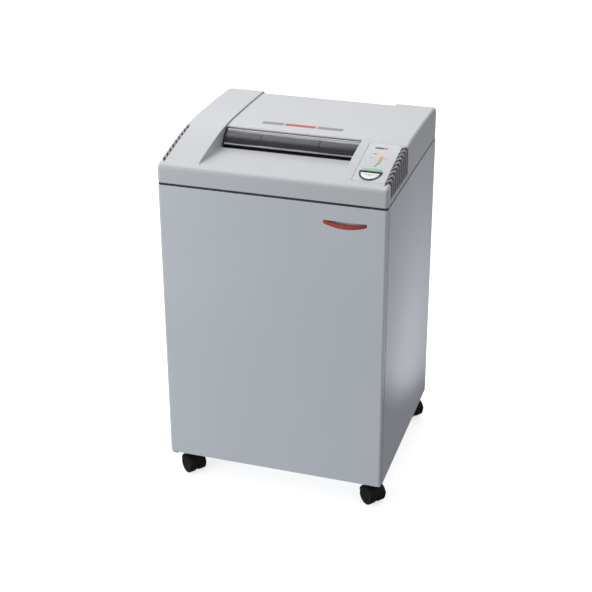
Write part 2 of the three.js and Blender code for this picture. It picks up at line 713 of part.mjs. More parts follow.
// Stripper combs: fingers between the discs keep the shreds from wrapping round the cores.
function comb(firstCell, y0, y1, reach) {
  const outline = [[-199.5, y1], [-199.5, y0]];
  for (let k = firstCell; k < cutters.cells; k += 2) {
    const from = cutters.left + k * cell + 3;
    const to = from + cell - 6;
    outline.push([from, y0], [from, y0 - reach], [to, y0 - reach], [to, y0]);
  }
  outline.push([184.2, y0], [184.2, y1]);
  return outline;
}
add(drive, 'lower_stripper_comb', prismZ(comb(0, 2, 12, 3.8), -1.5, 1.5), 'plated',
  0, lower.y + 26, lower.z - 3);
add(drive, 'upper_stripper_comb', prismZ(comb(1, 2, 12, 3.8), -1.5, 1.5), 'plated',
  0, upper.y + 26, upper.z + 4);
add(drive, 'tie_rod', rod('x', 5, -199.6, 184.2, [0, 0], 12), 'steel', 0, 58, 74);

// Gear outline with involute flanks, thinned a little so that a pair runs with backlash.
const pressure = THREE.MathUtils.degToRad(20);
const involute = (angle) => Math.tan(angle) - angle;
function gearOutline({ module, teeth }, phase, steps) {
  const pitch = module * teeth / 2;
  const base = pitch * Math.cos(pressure);
  const root = pitch - 1.2 * module;
  const tip = pitch + 0.8 * module;
  const thin = 0.035 * 2 * Math.PI / teeth;
  const halfAngle = (r) => Math.PI / (2 * teeth) - thin + involute(pressure)
    - involute(Math.acos(Math.min(1, base / Math.max(r, base))));
  const points = [];
  for (let k = 0; k < teeth; k += 1) {
    const centre = phase + 2 * Math.PI * k / teeth;
    const radii = Array.from({ length: steps + 1 }, (_, i) => root + (tip - root) * i / steps);
    const rising = radii.map((r) => [r, centre - halfAngle(r)]);
    const falling = [...radii].reverse().map((r) => [r, centre + halfAngle(r)]);
    points.push(...rising, ...falling);
  }
  return points.map(([r, a]) => [r * Math.cos(a), r * Math.sin(a)]);
}

function gear(spec, phase, bore, x0, x1, steps) {
  const shape = shapeOf(gearOutline(spec, phase, steps));
  if (bore > 0) {
    shape.holes.push(new THREE.Path().absarc(0, 0, bore, 0, 2 * Math.PI, true));
  }
  return prismX(shape, x0, x1);
}

// Phase that puts a gap of the second gear where a tooth of the first one meets it.
function meshedPhase(a, phaseA, teethA, b, teethB) {
  const line = Math.atan2(b.z - a.z, b.y - a.y);
  return line + Math.PI - (phaseA - line) * teethA / teethB + Math.PI / teethB;
}

const upperPhase = nipTilt + Math.PI;
const lowerPhase = meshedPhase(upper, upperPhase, cutterGear.teeth, lower, cutterGear.teeth);
const middlePhase = meshedPhase(upper, upperPhase, cutterGear.teeth, middle, smallPinion.teeth);
const motorPhase = meshedPhase(middle, 0, largeWheel.teeth, motor, motorGear.teeth);
const coarse = [gearX.coarse, gearX.coarse + gearWidth.coarse];
const fine = [gearX.fine, gearX.fine + gearWidth.fine];

add(drive, 'upper_cylinder_gear', gear(cutterGear, upperPhase, cutters.shaft + fit, ...coarse, 2),
  'steel', 0, upper.y, upper.z);
add(drive, 'lower_cylinder_gear', gear(cutterGear, lowerPhase, cutters.shaft + fit, ...coarse, 2),
  'steel', 0, lower.y, lower.z);

const axleRadius = 6;
const compound = cut(
  union(
    gear(smallPinion, middlePhase, 0, ...coarse, 2),
    rod('x', 12, coarse[1] - 1, fine[0] + 1, [0, 0], 20),
    gear(largeWheel, 0, 0, ...fine, 1),
  ),
  rod('x', boreFor(axleRadius, 16), 180, 230, [0, 0], 16),
);
add(drive, 'intermediate_gear', compound, 'steel', 0, middle.y, middle.z);
add(drive, 'gear_axle', rod('x', axleRadius, 185, fine[1] + 3, [0, 0], 16), 'steel',
  0, middle.y, middle.z);

// Motor: a shell round the rotor, flanged to the right bearing plate, with a fan at the far end.
const motorEnds = { left: -40, right: 184 };
const shaftRadius = 5;
const motorShell = ring([
  [26, motorEnds.left], [26, motorEnds.left + 5], [31, motorEnds.left + 5],
  [31, motorEnds.right - 5], [8, motorEnds.right - 5], [8, motorEnds.right],
  [36, motorEnds.right], [36, motorEnds.left],
], 28);
const rotor = turned([
  [0, motorEnds.left + 4], [shaftRadius, motorEnds.left + 4], [shaftRadius, 0], [28, 0],
  [28, 150], [shaftRadius, 150], [shaftRadius, fine[1] + 1], [0, fine[1] + 1],
], 16);
const blade = (index) => {
  const geometry = new THREE.BoxGeometry(18, 3, 18);
  geometry.rotateY(0.5);
  geometry.translate(0, 0, 15);
  geometry.rotateX(index * Math.PI / 3);
  return solid(geometry);
};
const fan = cut(
  union(rod('x', 9, -10, 10, [0, 0], 16), ...Array.from({ length: 6 }, (_, i) => blade(i))),
  rod('x', shaftRadius + fit, -20, 20, [0, 0], 16),
);
add(drive, 'motor_housing', motorShell, 'motor', 0, motor.y, motor.z);
add(drive, 'motor_rotor', rotor, 'steel', 0, motor.y, motor.z);
add(drive, 'motor_pinion', gear(motorGear, motorPhase, shaftRadius + fit, ...fine, 2),
  'steel', 0, motor.y, motor.z);
add(drive, 'cooling_fan', fan, 'dark', motorEnds.left + 22, motor.y, motor.z);
add(drive, 'run_capacitor', rod('x', 17, 0, 78, [0, 0], 20), 'plated', 20, 165, 22);

// ---- Casters: each turns on its stem, with twin wheels on one axle behind the stem ----

const wheelInner = 4.3;
const wheelOuter = 26.5;
const wheelSides = 20;
const wheelHub = boreFor(caster.axle, wheelSides);

function wheelBody() {
  const r = caster.wheel;
  return ring([
    [wheelHub, wheelInner], [r - 3, wheelInner], [r, wheelInner + 3], [r, wheelOuter - 3],
    [r - 3, wheelOuter], [wheelHub, wheelOuter],
  ], wheelSides);
}

// Fender outline round the axle: an arch over the wheels, in the plane across the axle.
function arch(innerRadius, outerRadius) {
  const shape = new THREE.Shape();
  const [from, to] = [0.06 * Math.PI, 0.94 * Math.PI];
  shape.absarc(caster.trail, caster.wheel, outerRadius, from, to);
  shape.absarc(caster.trail, caster.wheel, innerRadius, to, from, true);
  return shapeOf(shape.getPoints(6).slice(0, -1).map((p) => [p.x, p.y]));
}

function casterBody() {
  const { trail, wheel, stem, axle } = caster;
  const web = prismY([
    [trail - 10, wheel - 12], [trail + 10, wheel - 12], [trail + 14, wheel], [trail + 14, wheel + 28],
    [-8, wheel + 24], [-8, wheel + 12],
  ], -3.6, 3.6);
  return union(
    web,
    prismY(arch(28, 31), -24, 24),
    rod('y', axle, -24.5, 24.5, [trail, wheel], 14),
    rod('z', 10, wheel + 25.4, casterHeight - fit, [0, 0], 12),
    rod('z', stem, casterHeight - 2, casterHeight + stemTop, [0, 0], 16),
  );
}

const casterShape = geometryOf(casterBody());
const wheelShape = geometryOf(wheelBody()).rotateZ(Math.PI / 2);
for (const { name, x, y, heading } of casterStems) {
  const group = new THREE.Group();
  group.position.set(x, y, 0);
  group.rotation.z = heading;
  shredder.add(group);
  add(group, `caster_${name}`, casterShape.clone(), 'dark');
  add(group, `wheel_${name}_a`, wheelShape.clone(), 'rubber', caster.trail, 0, caster.wheel);
  const twin = add(group, `wheel_${name}_b`, wheelShape.clone(), 'rubber',
    caster.trail, 0, caster.wheel);
  twin.rotation.z = Math.PI;
}

export default shredder;
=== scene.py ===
"""Looks of the office paper shredder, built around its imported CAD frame.

Outlines and sizes are in millimetres, in the row frame: +X to the right of a person who faces the
door, -Y towards that person, +Z up, origin on the floor. piece() turns them into metres.
"""
import json
import math

import bmesh
import bpy
from mathutils import Matrix, Vector


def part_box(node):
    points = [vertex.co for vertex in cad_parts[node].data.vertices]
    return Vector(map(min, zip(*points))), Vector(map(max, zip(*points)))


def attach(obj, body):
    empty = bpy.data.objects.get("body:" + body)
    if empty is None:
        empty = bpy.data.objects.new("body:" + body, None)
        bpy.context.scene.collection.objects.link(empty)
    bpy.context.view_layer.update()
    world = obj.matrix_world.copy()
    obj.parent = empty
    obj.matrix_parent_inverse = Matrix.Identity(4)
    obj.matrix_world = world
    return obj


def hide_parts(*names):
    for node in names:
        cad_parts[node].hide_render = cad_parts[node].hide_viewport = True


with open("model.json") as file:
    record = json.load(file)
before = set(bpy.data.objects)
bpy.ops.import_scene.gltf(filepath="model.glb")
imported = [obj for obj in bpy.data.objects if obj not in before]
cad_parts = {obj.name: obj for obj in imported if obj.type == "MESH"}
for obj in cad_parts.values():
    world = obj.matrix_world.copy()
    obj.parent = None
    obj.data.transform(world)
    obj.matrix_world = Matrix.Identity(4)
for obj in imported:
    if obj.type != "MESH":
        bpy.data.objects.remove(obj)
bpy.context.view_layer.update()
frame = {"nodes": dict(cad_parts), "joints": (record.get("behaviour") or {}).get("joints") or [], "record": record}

MM = 0.001


def corners(node):
    """Lowest and highest corner of a CAD node, in millimetres."""
    return [Vector([round(c / MM, 2) for c in corner]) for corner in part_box(node)]


# ---- Driving places, all read from the frame ----

SEAM = corners("top_board")[1].z
HEAD_LOW, HEAD_HIGH = corners("head_casing")
HALF, FRONT, BACK = HEAD_HIGH.x, HEAD_LOW.y, HEAD_HIGH.y
HEAD_BOTTOM = HEAD_LOW.z - SEAM
DOOR_LOW, DOOR_HIGH = corners("front_door")
WALL = 4  # thickness of the head casing
FIT = 0.3  # gap between pieces that rest on each other
JOINTS = {joint["name"]: Vector(joint["pos_m"]) / MM for joint in frame["joints"]}


# ---- Mesh tools ----

def link(made):
    bpy.context.scene.collection.objects.link(made)
    return made


def remove(made):
    bpy.data.objects.remove(made, do_unlink=True)


def piece(name, points, faces):
    """A closed mesh object from points in millimetres."""
    mesh = bpy.data.meshes.new(name)
    mesh.from_pydata([Vector(p) * MM for p in points], [], faces)
    work = bmesh.new()
    work.from_mesh(mesh)
    bmesh.ops.remove_doubles(work, verts=work.verts, dist=0.0005 * MM)
    bmesh.ops.recalc_face_normals(work, faces=work.faces)
    work.to_mesh(mesh)
    work.free()
    return link(bpy.data.objects.new(name, mesh))


def loft(name, rings, closed=False):
    """Joins rings of equal point counts, with flat caps unless the last ring meets the first."""
    count = len(rings[0])
    points = [p for ring in rings for p in ring]
    faces = []
    for i in range(len(rings) if closed else len(rings) - 1):
        a, b = i * count, (i + 1) % len(rings) * count
        faces += [(a + k, a + (k + 1) % count, b + (k + 1) % count, b + k) for k in range(count)]
    if not closed:
        faces.append(tuple(reversed(range(count))))
        faces.append(tuple(range(len(points) - count, len(points))))
    return piece(name, points, faces)


def on_axis(axis, a, u, v):
    return {"x": (a, u, v), "y": (u, a, v), "z": (u, v, a)}[axis]


def inset(outline, distance):
    """Moves each corner of a counter-clockwise outline inwards by the same distance."""
    moved = []
    for i, corner in enumerate(outline):
        here = Vector(corner)
        a = (here - Vector(outline[i - 1])).normalized()
        b = (Vector(outline[(i + 1) % len(outline)]) - here).normalized()
        normal = Vector((-a.y - b.y, a.x + b.x)).normalized()
        reach = distance / max(0.3, normal.dot(Vector((-a.y, a.x))))
        moved.append(tuple(here + normal * reach))
    return moved


def prism(name, outline, axis, low, high, rounding=0, steps=5):
    """A counter-clockwise outline drawn out along an axis, with its two end edges rounded."""
    turns = [math.pi / 2 * k / steps for k in range(steps + 1)] if rounding else [0]
    ends = [(rounding * (1 - math.sin(t)), rounding * (1 - math.cos(t))) for t in turns]
    stations = [(low + move, by) for move, by in reversed(ends)]
    stations += [(high - move, by) for move, by in ends]
    rings = []
    for at, by in stations:
        line = inset(outline, by) if by > 0 else outline
        rings.append([on_axis(axis, at, u, v) for u, v in line])
    return loft(name, rings)


def block(name, x0, x1, y0, y1, z0, z1):
    return prism(name, [(x0, y0), (x1, y0), (x1, y1), (x0, y1)], "z", z0, z1)


def arc(centre, radius, start, end, steps):
    """Points on an arc; radius may be a pair for an ellipse, and the angles are in degrees."""
    wide, high = radius if isinstance(radius, tuple) else (radius, radius)
    turns = [math.radians(start + (end - start) * k / steps) for k in range(steps + 1)]
    return [(centre[0] + wide * math.cos(t), centre[1] + high * math.sin(t)) for t in turns]


def mirrored(outline):
    return [(-x, y) for x, y in reversed(outline)]


def round_rectangle(x0, x1, y0, y1, radius, steps=7):
    centres = [(x1 - radius, y0 + radius, -90), (x1 - radius, y1 - radius, 0),
               (x0 + radius, y1 - radius, 90), (x0 + radius, y0 + radius, 180)]
    return [p for x, y, start in centres for p in arc((x, y), radius, start, start + 90, steps)]


def circle(centre, radius, steps):
    return arc(centre, radius, 0, 360 - 360 / steps, steps - 1)


def rod(name, axis, centre, radius, low, high, rounding=0, sides=48):
    return prism(name, circle(centre, radius, sides), axis, low, high, rounding, 3)


def turned(name, profile, centre, segments=64):
    """A body turned about an X axis, from (radius, x) points that close on themselves or the axis."""
    rings = []
    for k in range(segments):
        turn = 2 * math.pi * k / segments
        c, s = math.cos(turn), math.sin(turn)
        rings.append([(x, centre[0] + r * c, centre[1] + r * s) for r, x in profile])
    return loft(name, rings, closed=True)


def bezier(points, steps):
    """Points on the Bezier curve of a row of control points."""
    line = []
    degree = len(points) - 1
    for k in range(steps + 1):
        t = k / steps
        weights = [math.comb(degree, i) * t ** i * (1 - t) ** (degree - i) for i in range(degree + 1)]
        line.append(tuple(sum(w * p[d] for w, p in zip(weights, points)) for d in (0, 1)))
    return line


def bake(made):
    """Applies the modifiers."""
    graph = bpy.context.evaluated_depsgraph_get()
    mesh = bpy.data.meshes.new_from_object(made.evaluated_get(graph))
    made.modifiers.clear()
    made.data = mesh
    return made


def combine(body, operation, tools):
    """Cuts the tools from the body, or joins or crosses them with it."""
    for tool in tools:
        step = body.modifiers.new("combine", "BOOLEAN")
        step.operation = operation
        step.solver = "EXACT"
        step.object = tool
        bake(body)
        remove(tool)
    return body


def cut(body, *tools):
    return combine(body, "DIFFERENCE", tools)


def union(body, *tools):
    return combine(body, "UNION", tools)


def cross(body, *tools):
    return combine(body, "INTERSECT", tools)


def gather(name, parts):
    """One object that holds separate solids."""
    work = bmesh.new()
    for part in parts:
        work.from_mesh(part.data)
        remove(part)
    mesh = bpy.data.meshes.new(name)
    work.to_mesh(mesh)
    work.free()
    return link(bpy.data.objects.new(name, mesh))


def transform(made, matrix):
    """Moves a mesh by a matrix whose translation is in millimetres."""
    moved = matrix.copy()
    moved.translation = matrix.translation * MM
    made.data.transform(moved)
    return made


def lift(made):
    """Raises a piece that was drawn from the seam upwards."""
    return transform(made, Matrix.Translation((0, 0, SEAM)))


def copy(made, name):
    twin = link(made.copy())
    twin.data = made.data.copy()
    twin.name = name
    return twin


def soften(made, width, segments=3, share=None, angle=30):
    """Rounds the edges; share(point) gives each edge's part of the width, and 0 keeps it sharp."""
    work = bmesh.new()
    work.from_mesh(made.data)
    bmesh.ops.remove_doubles(work, verts=work.verts, dist=0.02 * MM)
    bmesh.ops.dissolve_degenerate(work, edges=work.edges, dist=0.02 * MM)
    weight = work.edges.layers.float.new("bevel_weight_edge")
    for edge in work.edges:
        if len(edge.link_faces) == 2 and edge.calc_face_angle() > math.radians(angle):
            middle = (edge.verts[0].co + edge.verts[1].co) / 2 / MM
            edge[weight] = share(middle) if share else 1
            edge.smooth = edge[weight] > 0
    for face in work.faces:
        face.smooth = True
    work.to_mesh(made.data)
    work.free()
    bevel = made.modifiers.new("edge_rounding", "BEVEL")
    bevel.limit_method = "WEIGHT"
    bevel.width = width * MM
    bevel.segments = segments
    bevel.use_clamp_overlap = False
    even_out(made)
    return made


def even_out(made):
    normals = made.modifiers.new("even_normals", "WEIGHTED_NORMAL")
    normals.keep_sharp = True


def smooth(made, angle=35):
    """Shades a finished mesh smoothly, apart from edges over the angle."""
    for face in made.data.polygons:
        face.use_smooth = True
    made.data.set_sharp_from_angle(angle=math.radians(angle))
    return made


# ---- Materials ----

# Shield colours: SMOKE is the plastic's own; the three after it are painted highlight and painted sheen.
SMOKE = (0.060, 0.055, 0.070)
UPPER_PAINTED_SHEEN = (0.115, 0.112, 0.13)
BEAD_PAINTED_HIGHLIGHT = (0.62, 0.62, 0.66)
HINGE_PAINTED_HIGHLIGHT = (0.68, 0.69, 0.74)
GREEN = (0.22, 0.62, 0.30)
PALE_GREEN = (0.40, 0.62, 0.42)
LEAF = (0.16, 0.42, 0.14)
OLIVE = (0.42, 0.46, 0.14)
AMBER = (0.80, 0.46, 0.20)
SCARLET = (0.62, 0.065, 0.022)
# The handle's red in painted shade, for the end of its curve that turns from the light.
SCARLET_IN_PAINTED_SHADE = (0.30, 0.022, 0.010)


def set_inputs(node, values):
    for name, value in values.items():
        node.inputs[name].default_value = value


def add(tree, kind, values, **sources):
    """A new node with some inputs set to values and others fed by sources."""
    made = tree.nodes.new("ShaderNode" + kind)
    set_inputs(made, values)
    for name, source in sources.items():
        tree.links.new(source, made.inputs[name])
    return made


def ramp(tree, value, stops):
    made = add(tree, "ValToRGB", {}, Fac=value)
    elements = made.color_ramp.elements
    for at, colour in stops[2:]:
        elements.new(at)
    for element, (at, colour) in zip(elements, stops):
        element.position = at
        element.color = (*colour, 1)
    return made.outputs["Color"]


def noise(tree, place, scale, detail, stretch=None):
    if stretch:
        place = add(tree, "Mapping", {"Scale": stretch}, Vector=place).outputs["Vector"]
    return add(tree, "TexNoise", {"Scale": scale, "Detail": detail}, Vector=place).outputs["Fac"]


def spread(tree, value, low, high):
    """Maps a noise of about 0.3 to 0.7 to a range."""
    reach = {"From Min": 0.3, "From Max": 0.7, "To Min": low, "To Max": high}
    return add(tree, "MapRange", reach, Value=value).outputs["Result"]


def along(tree, place, axis, low, high):
    """Runs from 0 to 1 along an axis between two places."""
    at = add(tree, "SeparateXYZ", {}, Vector=place).outputs[axis]
    return add(tree, "MapRange", {"From Min": low, "From Max": high}, Value=at).outputs["Result"]


def multiply(tree, colour, tint):
    made = add(tree, "Mix", {})
    made.data_type = "RGBA"
    made.blend_type = "MULTIPLY"
    made.inputs["Factor"].default_value = 1
    tree.links.new(colour, made.inputs["A"])
    tree.links.new(tint, made.inputs["B"])
    return made.outputs["Result"]


def material(slot, colour, roughness, metallic=0.0, shade=0.03, cloud=5, grain=1400, depth=0.03,
             speck=0.0, stretch=None, coat=0.0, specular=0.5, swell=0.0):
    """A solid surface: cloudy colour, fine specks, uneven gloss and a fine grain in relief.

    shade is how far the colour drifts, cloud and grain are patterns per metre, depth is the
    relief of the grain in millimetres and swell that of the wide, low waviness.
    """
    made = bpy.data.materials.new(slot)
    made.use_nodes = True
    tree = made.node_tree
    shader = tree.nodes["Principled BSDF"]
    place = add(tree, "TexCoord", {}).outputs["Object"]
    drift = noise(tree, place, cloud, 4)
    fine = noise(tree, place, grain, 2, stretch)
    low = [c * (1 - shade) for c in colour]
    high = [min(1, c * (1 + shade)) for c in colour]
    base = ramp(tree, drift, [(0.35, low), (0.65, high)])
    if speck:
        base = multiply(tree, base, ramp(tree, fine, [(0.3, [1 - speck] * 3), (0.6, [1, 1, 1])]))
    tree.links.new(base, shader.inputs["Base Color"])
    gloss = spread(tree, fine if stretch else drift, roughness * 0.9, roughness * 1.1)
    tree.links.new(gloss, shader.inputs["Roughness"])
    set_inputs(shader, {"Metallic": metallic, "Specular IOR Level": specular,
                        "Coat Weight": coat, "Coat Roughness": 0.15})
    normal = add(tree, "Bump", {"Strength": 0.6, "Distance": depth * MM}, Height=fine)
    if swell:
        normal = add(tree, "Bump", {"Strength": 0.5, "Distance": swell * MM},
                     Height=noise(tree, place, 14, 2), Normal=normal.outputs["Normal"])
    tree.links.new(normal.outputs["Normal"], shader.inputs["Normal"])
    return made


def smoked(slot):
    """Smoky clear plastic, dark in the middle, with a painted highlight at its hinge and its bead."""
    made = material(slot, SMOKE, 0.22, shade=0.05, depth=0.001, specular=0.35)
    tree = made.node_tree
    shader = tree.nodes["Principled BSDF"]
    place = add(tree, "TexCoord", {}).outputs["Object"]
    # Noise that waves the bands by height: painted reflection streaks.
    reflection_streak = noise(tree, place, 30, 2, (0.3, 1, 6))
    low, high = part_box("safety_shield")
    total = add(tree, "Math", {})
    tree.links.new(along(tree, place, "Z", low[2], high[2]), total.inputs[0])
    tree.links.new(spread(tree, reflection_streak, -0.03, 0.03), total.inputs[1])
    # From the bottom: painted bead highlight, the smoke, then painted sheen and painted hinge highlight.
    stops = [(0.0, BEAD_PAINTED_HIGHLIGHT), (0.10, BEAD_PAINTED_HIGHLIGHT), (0.16, SMOKE), (0.45, SMOKE), (0.60, UPPER_PAINTED_SHEEN), (0.82, UPPER_PAINTED_SHEEN),
             (0.88, HINGE_PAINTED_HIGHLIGHT), (1.0, HINGE_PAINTED_HIGHLIGHT)]
    tree.links.new(ramp(tree, total.outputs["Value"], stops), shader.inputs["Base Color"])
    shader.inputs["Alpha"].default_value = 0.75
    return made


def graded(slot, stops, axis, low, high, roughness, glow):
    """Glossy plastic whose colour runs along an axis between two places, in millimetres."""
    made = material(slot, stops[0][1], roughness, coat=0.6, grain=500, depth=0.005)
    tree = made.node_tree
    shader = tree.nodes["Principled BSDF"]
    place = add(tree, "TexCoord", {}).outputs["Object"]
    colours = ramp(tree, along(tree, place, axis, low * MM, high * MM), stops)
    tree.links.new(colours, shader.inputs["Base Color"])
    tree.links.new(colours, shader.inputs["Emission Color"])
    shader.inputs["Emission Strength"].default_value = glow
    return made


# Solid materials: colour, roughness and what differs from material()'s own values.
SOLIDS = {
    "cabinet_board": ((0.67, 0.71, 0.755), 0.36, dict(
        shade=0.015, cloud=3, grain=1100, depth=0.02, speck=0.03, swell=0.05)),
    "casing_plastic": ((0.635, 0.65, 0.675), 0.42, dict(shade=0.012, grain=1600, speck=0.02)),
    "dark_plastic": ((0.022, 0.022, 0.026), 0.45, dict(shade=0.12, depth=0.04)),
    "silver_plastic": ((0.86, 0.88, 0.91), 0.24, dict(
        metallic=0.2, shade=0.02, coat=0.4, speck=0.04, depth=0.01)),
    "machined_steel": ((0.52, 0.53, 0.54), 0.32, dict(
        metallic=1.0, shade=0.08, grain=420, depth=0.01, stretch=(1, 0.08, 0.08))),
    "plated_steel": ((0.58, 0.59, 0.60), 0.36, dict(
        metallic=1.0, shade=0.10, cloud=40, grain=300, depth=0.01, speck=0.06)),
    "circuit_board": ((0.02, 0.15, 0.05), 0.40, dict(shade=0.2, cloud=90, grain=700, coat=0.4)),
    "motor_paint": ((0.045, 0.065, 0.09), 0.40, dict(shade=0.1, grain=600, depth=0.05, coat=0.3)),
    "bin_plastic": ((0.22, 0.23, 0.24), 0.5, dict(shade=0.05, grain=700, depth=0.06)),
    "caster_nylon": ((0.008, 0.008, 0.009), 0.42, dict(specular=0.3, shade=0.15, grain=900)),
    "wheel_rubber": ((0.007, 0.007, 0.008), 0.6, dict(
        specular=0.25, shade=0.15, grain=800, depth=0.05)),
    # Casing plastic darkened as painted shade, for the vent grille's ribs.
    "vent_painted_shade_grey": ((0.33, 0.325, 0.34), 0.5, dict(speck=0.03)),
    # vent_dark also paints the shade in the vent slots, on the sheet behind them.
    "vent_dark": ((0.15, 0.15, 0.155), 0.5, dict(shade=0.08, depth=0.04)),
    "panel_film": ((0.68, 0.70, 0.72), 0.36, dict(shade=0.01, grain=2200, depth=0.01)),
}
# Graded materials: colours, axis and where along it they run, roughness and glow.
GRADED = {
    # red_plastic runs from its own scarlet to a darker red towards +X: painted shade on the handle's curve.
    "red_plastic": ([(0, SCARLET), (0.45, SCARLET), (1, SCARLET_IN_PAINTED_SHADE)], "X", 141, 256, 0.30, 0.0),
    "green_light": ([(0, PALE_GREEN), (1, GREEN)], "X", 216, 276, 0.25, 0.08),
    "level_bar": ([(0, LEAF), (0.45, OLIVE), (1, AMBER)], "Y", -182, -132, 0.25, 0.06),
}
LOOKS = {
    **{name: material(name, colour, roughness, **rest)
       for name, (colour, roughness, rest) in SOLIDS.items()},
    **{name: graded(name, *values) for name, values in GRADED.items()},
    "smoked_plastic": smoked("smoked_plastic"),
}
# Printing inks: colour, and how far it drifts.
INK_COLOURS = {
    "black": ((0.035, 0.033, 0.035), 0.1),
    "grey": ((0.26, 0.26, 0.28), 0.06),
    "red": ((0.55, 0.06, 0.05), 0.06),
    "orange": ((0.85, 0.42, 0.12), 0.06),
}
INKS = {name: material("ink_" + name, colour, 0.4, shade=shade, depth=0.004)
        for name, (colour, shade) in INK_COLOURS.items()}


def place(made, slot, *nodes, body="cabinet", look=None):
    """Gives a finished piece its material, the body it rides on and the CAD nodes it stands for."""
    made.data.materials.clear()
    made.data.materials.append(look or LOOKS[slot])
    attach(made, body)
    if nodes:
        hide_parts(*nodes)
    return made


# ---- Camera, lights and floor ----

# Place in metres, angles in degrees, lens in millimetres.
CAMERA = {"place": (1.022, -3.259, 2.177), "azimuth": 17.72, "elevation": 24.95, "roll": -0.24,
          "lens": 81.6, "shift": -0.06}
SKY = [(0.0, (0.45, 0.45, 0.46)), (0.5, (0.50, 0.51, 0.53)), (0.75, (0.75, 0.75, 0.76)),
       (1.0, (0.90, 0.90, 0.90))]  # straight down to straight up
SKY_SIDES = [(0.0, (1, 1, 1)), (0.25, (0.8, 0.8, 0.8)), (1.0, (0.66, 0.64, 0.66))]  # towards +X

# Soft boxes, in metres and watts: place, target, size, power, colour.
SOFT_BOXES = {
    "key": ((-0.8, 0.3, 3.4), (0, 0, 0.7), (2.4, 2.0), 39, (1, 1, 1)),
    "fill": ((-2.3, -2.8, 0.7), (-0.1, 0, 0.4), (2.2, 1.4), 47, (0.96, 0.98, 1.0)),
    "back_strip": ((-0.9, 2.7, 2.5), (0, 0, 0.95), (3.0, 0.7), 16, (1, 1, 1)),
}
# A lamp low beside the right panel, which draws a bright cone over it.
SIDE_GLOW = {"place": (0.808, 0.05, 0.33), "target": (0.308, 0.33, 0.94), "power": 4.9,
             "cone": 142, "blend": 0.2, "radius": 0.045}
FLOOR = {"reach": 20000, "paint": (0.90, 0.90, 0.90), "glow": 0.7}


def set_camera():
    """A long lens in front and a little to the right, looking down, turned by a hair."""
    azimuth, elevation, roll = (math.radians(CAMERA[k]) for k in ("azimuth", "elevation", "roll"))
    back = Vector((math.sin(azimuth) * math.cos(elevation),
                   -math.cos(azimuth) * math.cos(elevation), math.sin(elevation)))
    right = Vector((math.cos(azimuth), math.sin(azimuth), 0))
    up = back.cross(right)
    turn = Matrix((right, up, back)).transposed() @ Matrix.Rotation(roll, 3, "Z")
    data = bpy.data.cameras.new("camera")
    data.sensor_width = 36
    data.lens = CAMERA["lens"]
    data.shift_y = CAMERA["shift"]
    data.clip_start, data.clip_end = 0.1, 100
    camera = link(bpy.data.objects.new("camera", data))
    camera.matrix_world = Matrix.Translation(CAMERA["place"]) @ turn.to_4x4()
    bpy.context.scene.camera = camera


def aim_light(data, position, target, power):
    data.energy = power
    lamp = link(bpy.data.objects.new(data.name, data))
    lamp.location = position
    lamp.rotation_euler = (Vector(target) - Vector(position)).to_track_quat("-Z", "Y").to_euler()
    return lamp


def set_sky():
    """Pale surroundings, brighter above and on the left."""
    world = bpy.data.worlds.new("studio")
    world.use_nodes = True
    tree = world.node_tree
    place = add(tree, "TexCoord", {}).outputs["Generated"]
    sky = ramp(tree, along(tree, place, "Z", -1, 1), SKY)
    sides = ramp(tree, along(tree, place, "X", 0, 1), SKY_SIDES)
    background = tree.nodes["Background"]
    tree.links.new(multiply(tree, sky, sides), background.inputs["Color"])
    background.inputs["Strength"].default_value = 0.62
    bpy.context.scene.world = world
    bpy.context.scene.view_settings.view_transform = "Standard"


def set_lights():
    for name, (position, target, size, power, colour) in SOFT_BOXES.items():
        box = bpy.data.lights.new(name, "AREA")
        box.shape = "RECTANGLE"
        box.size, box.size_y = size
        box.color = colour
        aim_light(box, position, target, power)
    glow = bpy.data.lights.new("side_glow", "SPOT")
    glow.spot_size = math.radians(SIDE_GLOW["cone"])
    glow.spot_blend = SIDE_GLOW["blend"]
    glow.shadow_soft_size = SIDE_GLOW["radius"]
    lamp = aim_light(glow, SIDE_GLOW["place"], SIDE_GLOW["target"], SIDE_GLOW["power"])
    lamp.visible_glossy = False


def set_floor():
    """A white floor whose faint glow lets it fade into the background."""
    reach = FLOOR["reach"]
    floor = piece("floor", [(-reach, -reach, 0), (reach, -reach, 0), (reach, reach, 0),
                            (-reach, reach, 0)], [(0, 1, 2, 3)])
    paint = material("studio_floor", FLOOR["paint"], 0.8, shade=0.004, cloud=0.5, grain=40,
                     depth=0.01, specular=0.1)
    shader = paint.node_tree.nodes["Principled BSDF"]
    set_inputs(shader, {"Emission Color": (1, 1, 1, 1), "Emission Strength": FLOOR["glow"]})
    floor.data.materials.append(paint)
    floor.visible_diffuse = False
    floor.visible_glossy = False


# ---- Head ----

# Side view of the top: one long curve from the fascia, over a flat rear part, to the rear edge.
SLOPE = bezier([(-265, 57), (-190, 74), (-90, 100), (20, 100)], 32)
CROWN = bezier([(20, 100), (100, 100), (180, 99.3), (258, 96)], 10)
FRONT_CORNER = bezier([(-277, 44), (-277, 54), (-265, 57)], 7)
REAR_CORNER = bezier([(258, 96), (BACK, 95), (BACK, 76)], 8)
TOP_LINE = SLOPE + CROWN[1:]


def top_at(y):
    """Height of the head's top above the seam."""
    for a, b in zip(TOP_LINE, TOP_LINE[1:]):
        if y <= b[0]:
            break
    return a[1] + (b[1] - a[1]) * (y - a[0]) / (b[0] - a[0])


SIDE_VIEW = [(FRONT, -40), (BACK, -40), *reversed(FRONT_CORNER[:-1] + TOP_LINE + REAR_CORNER[1:])]

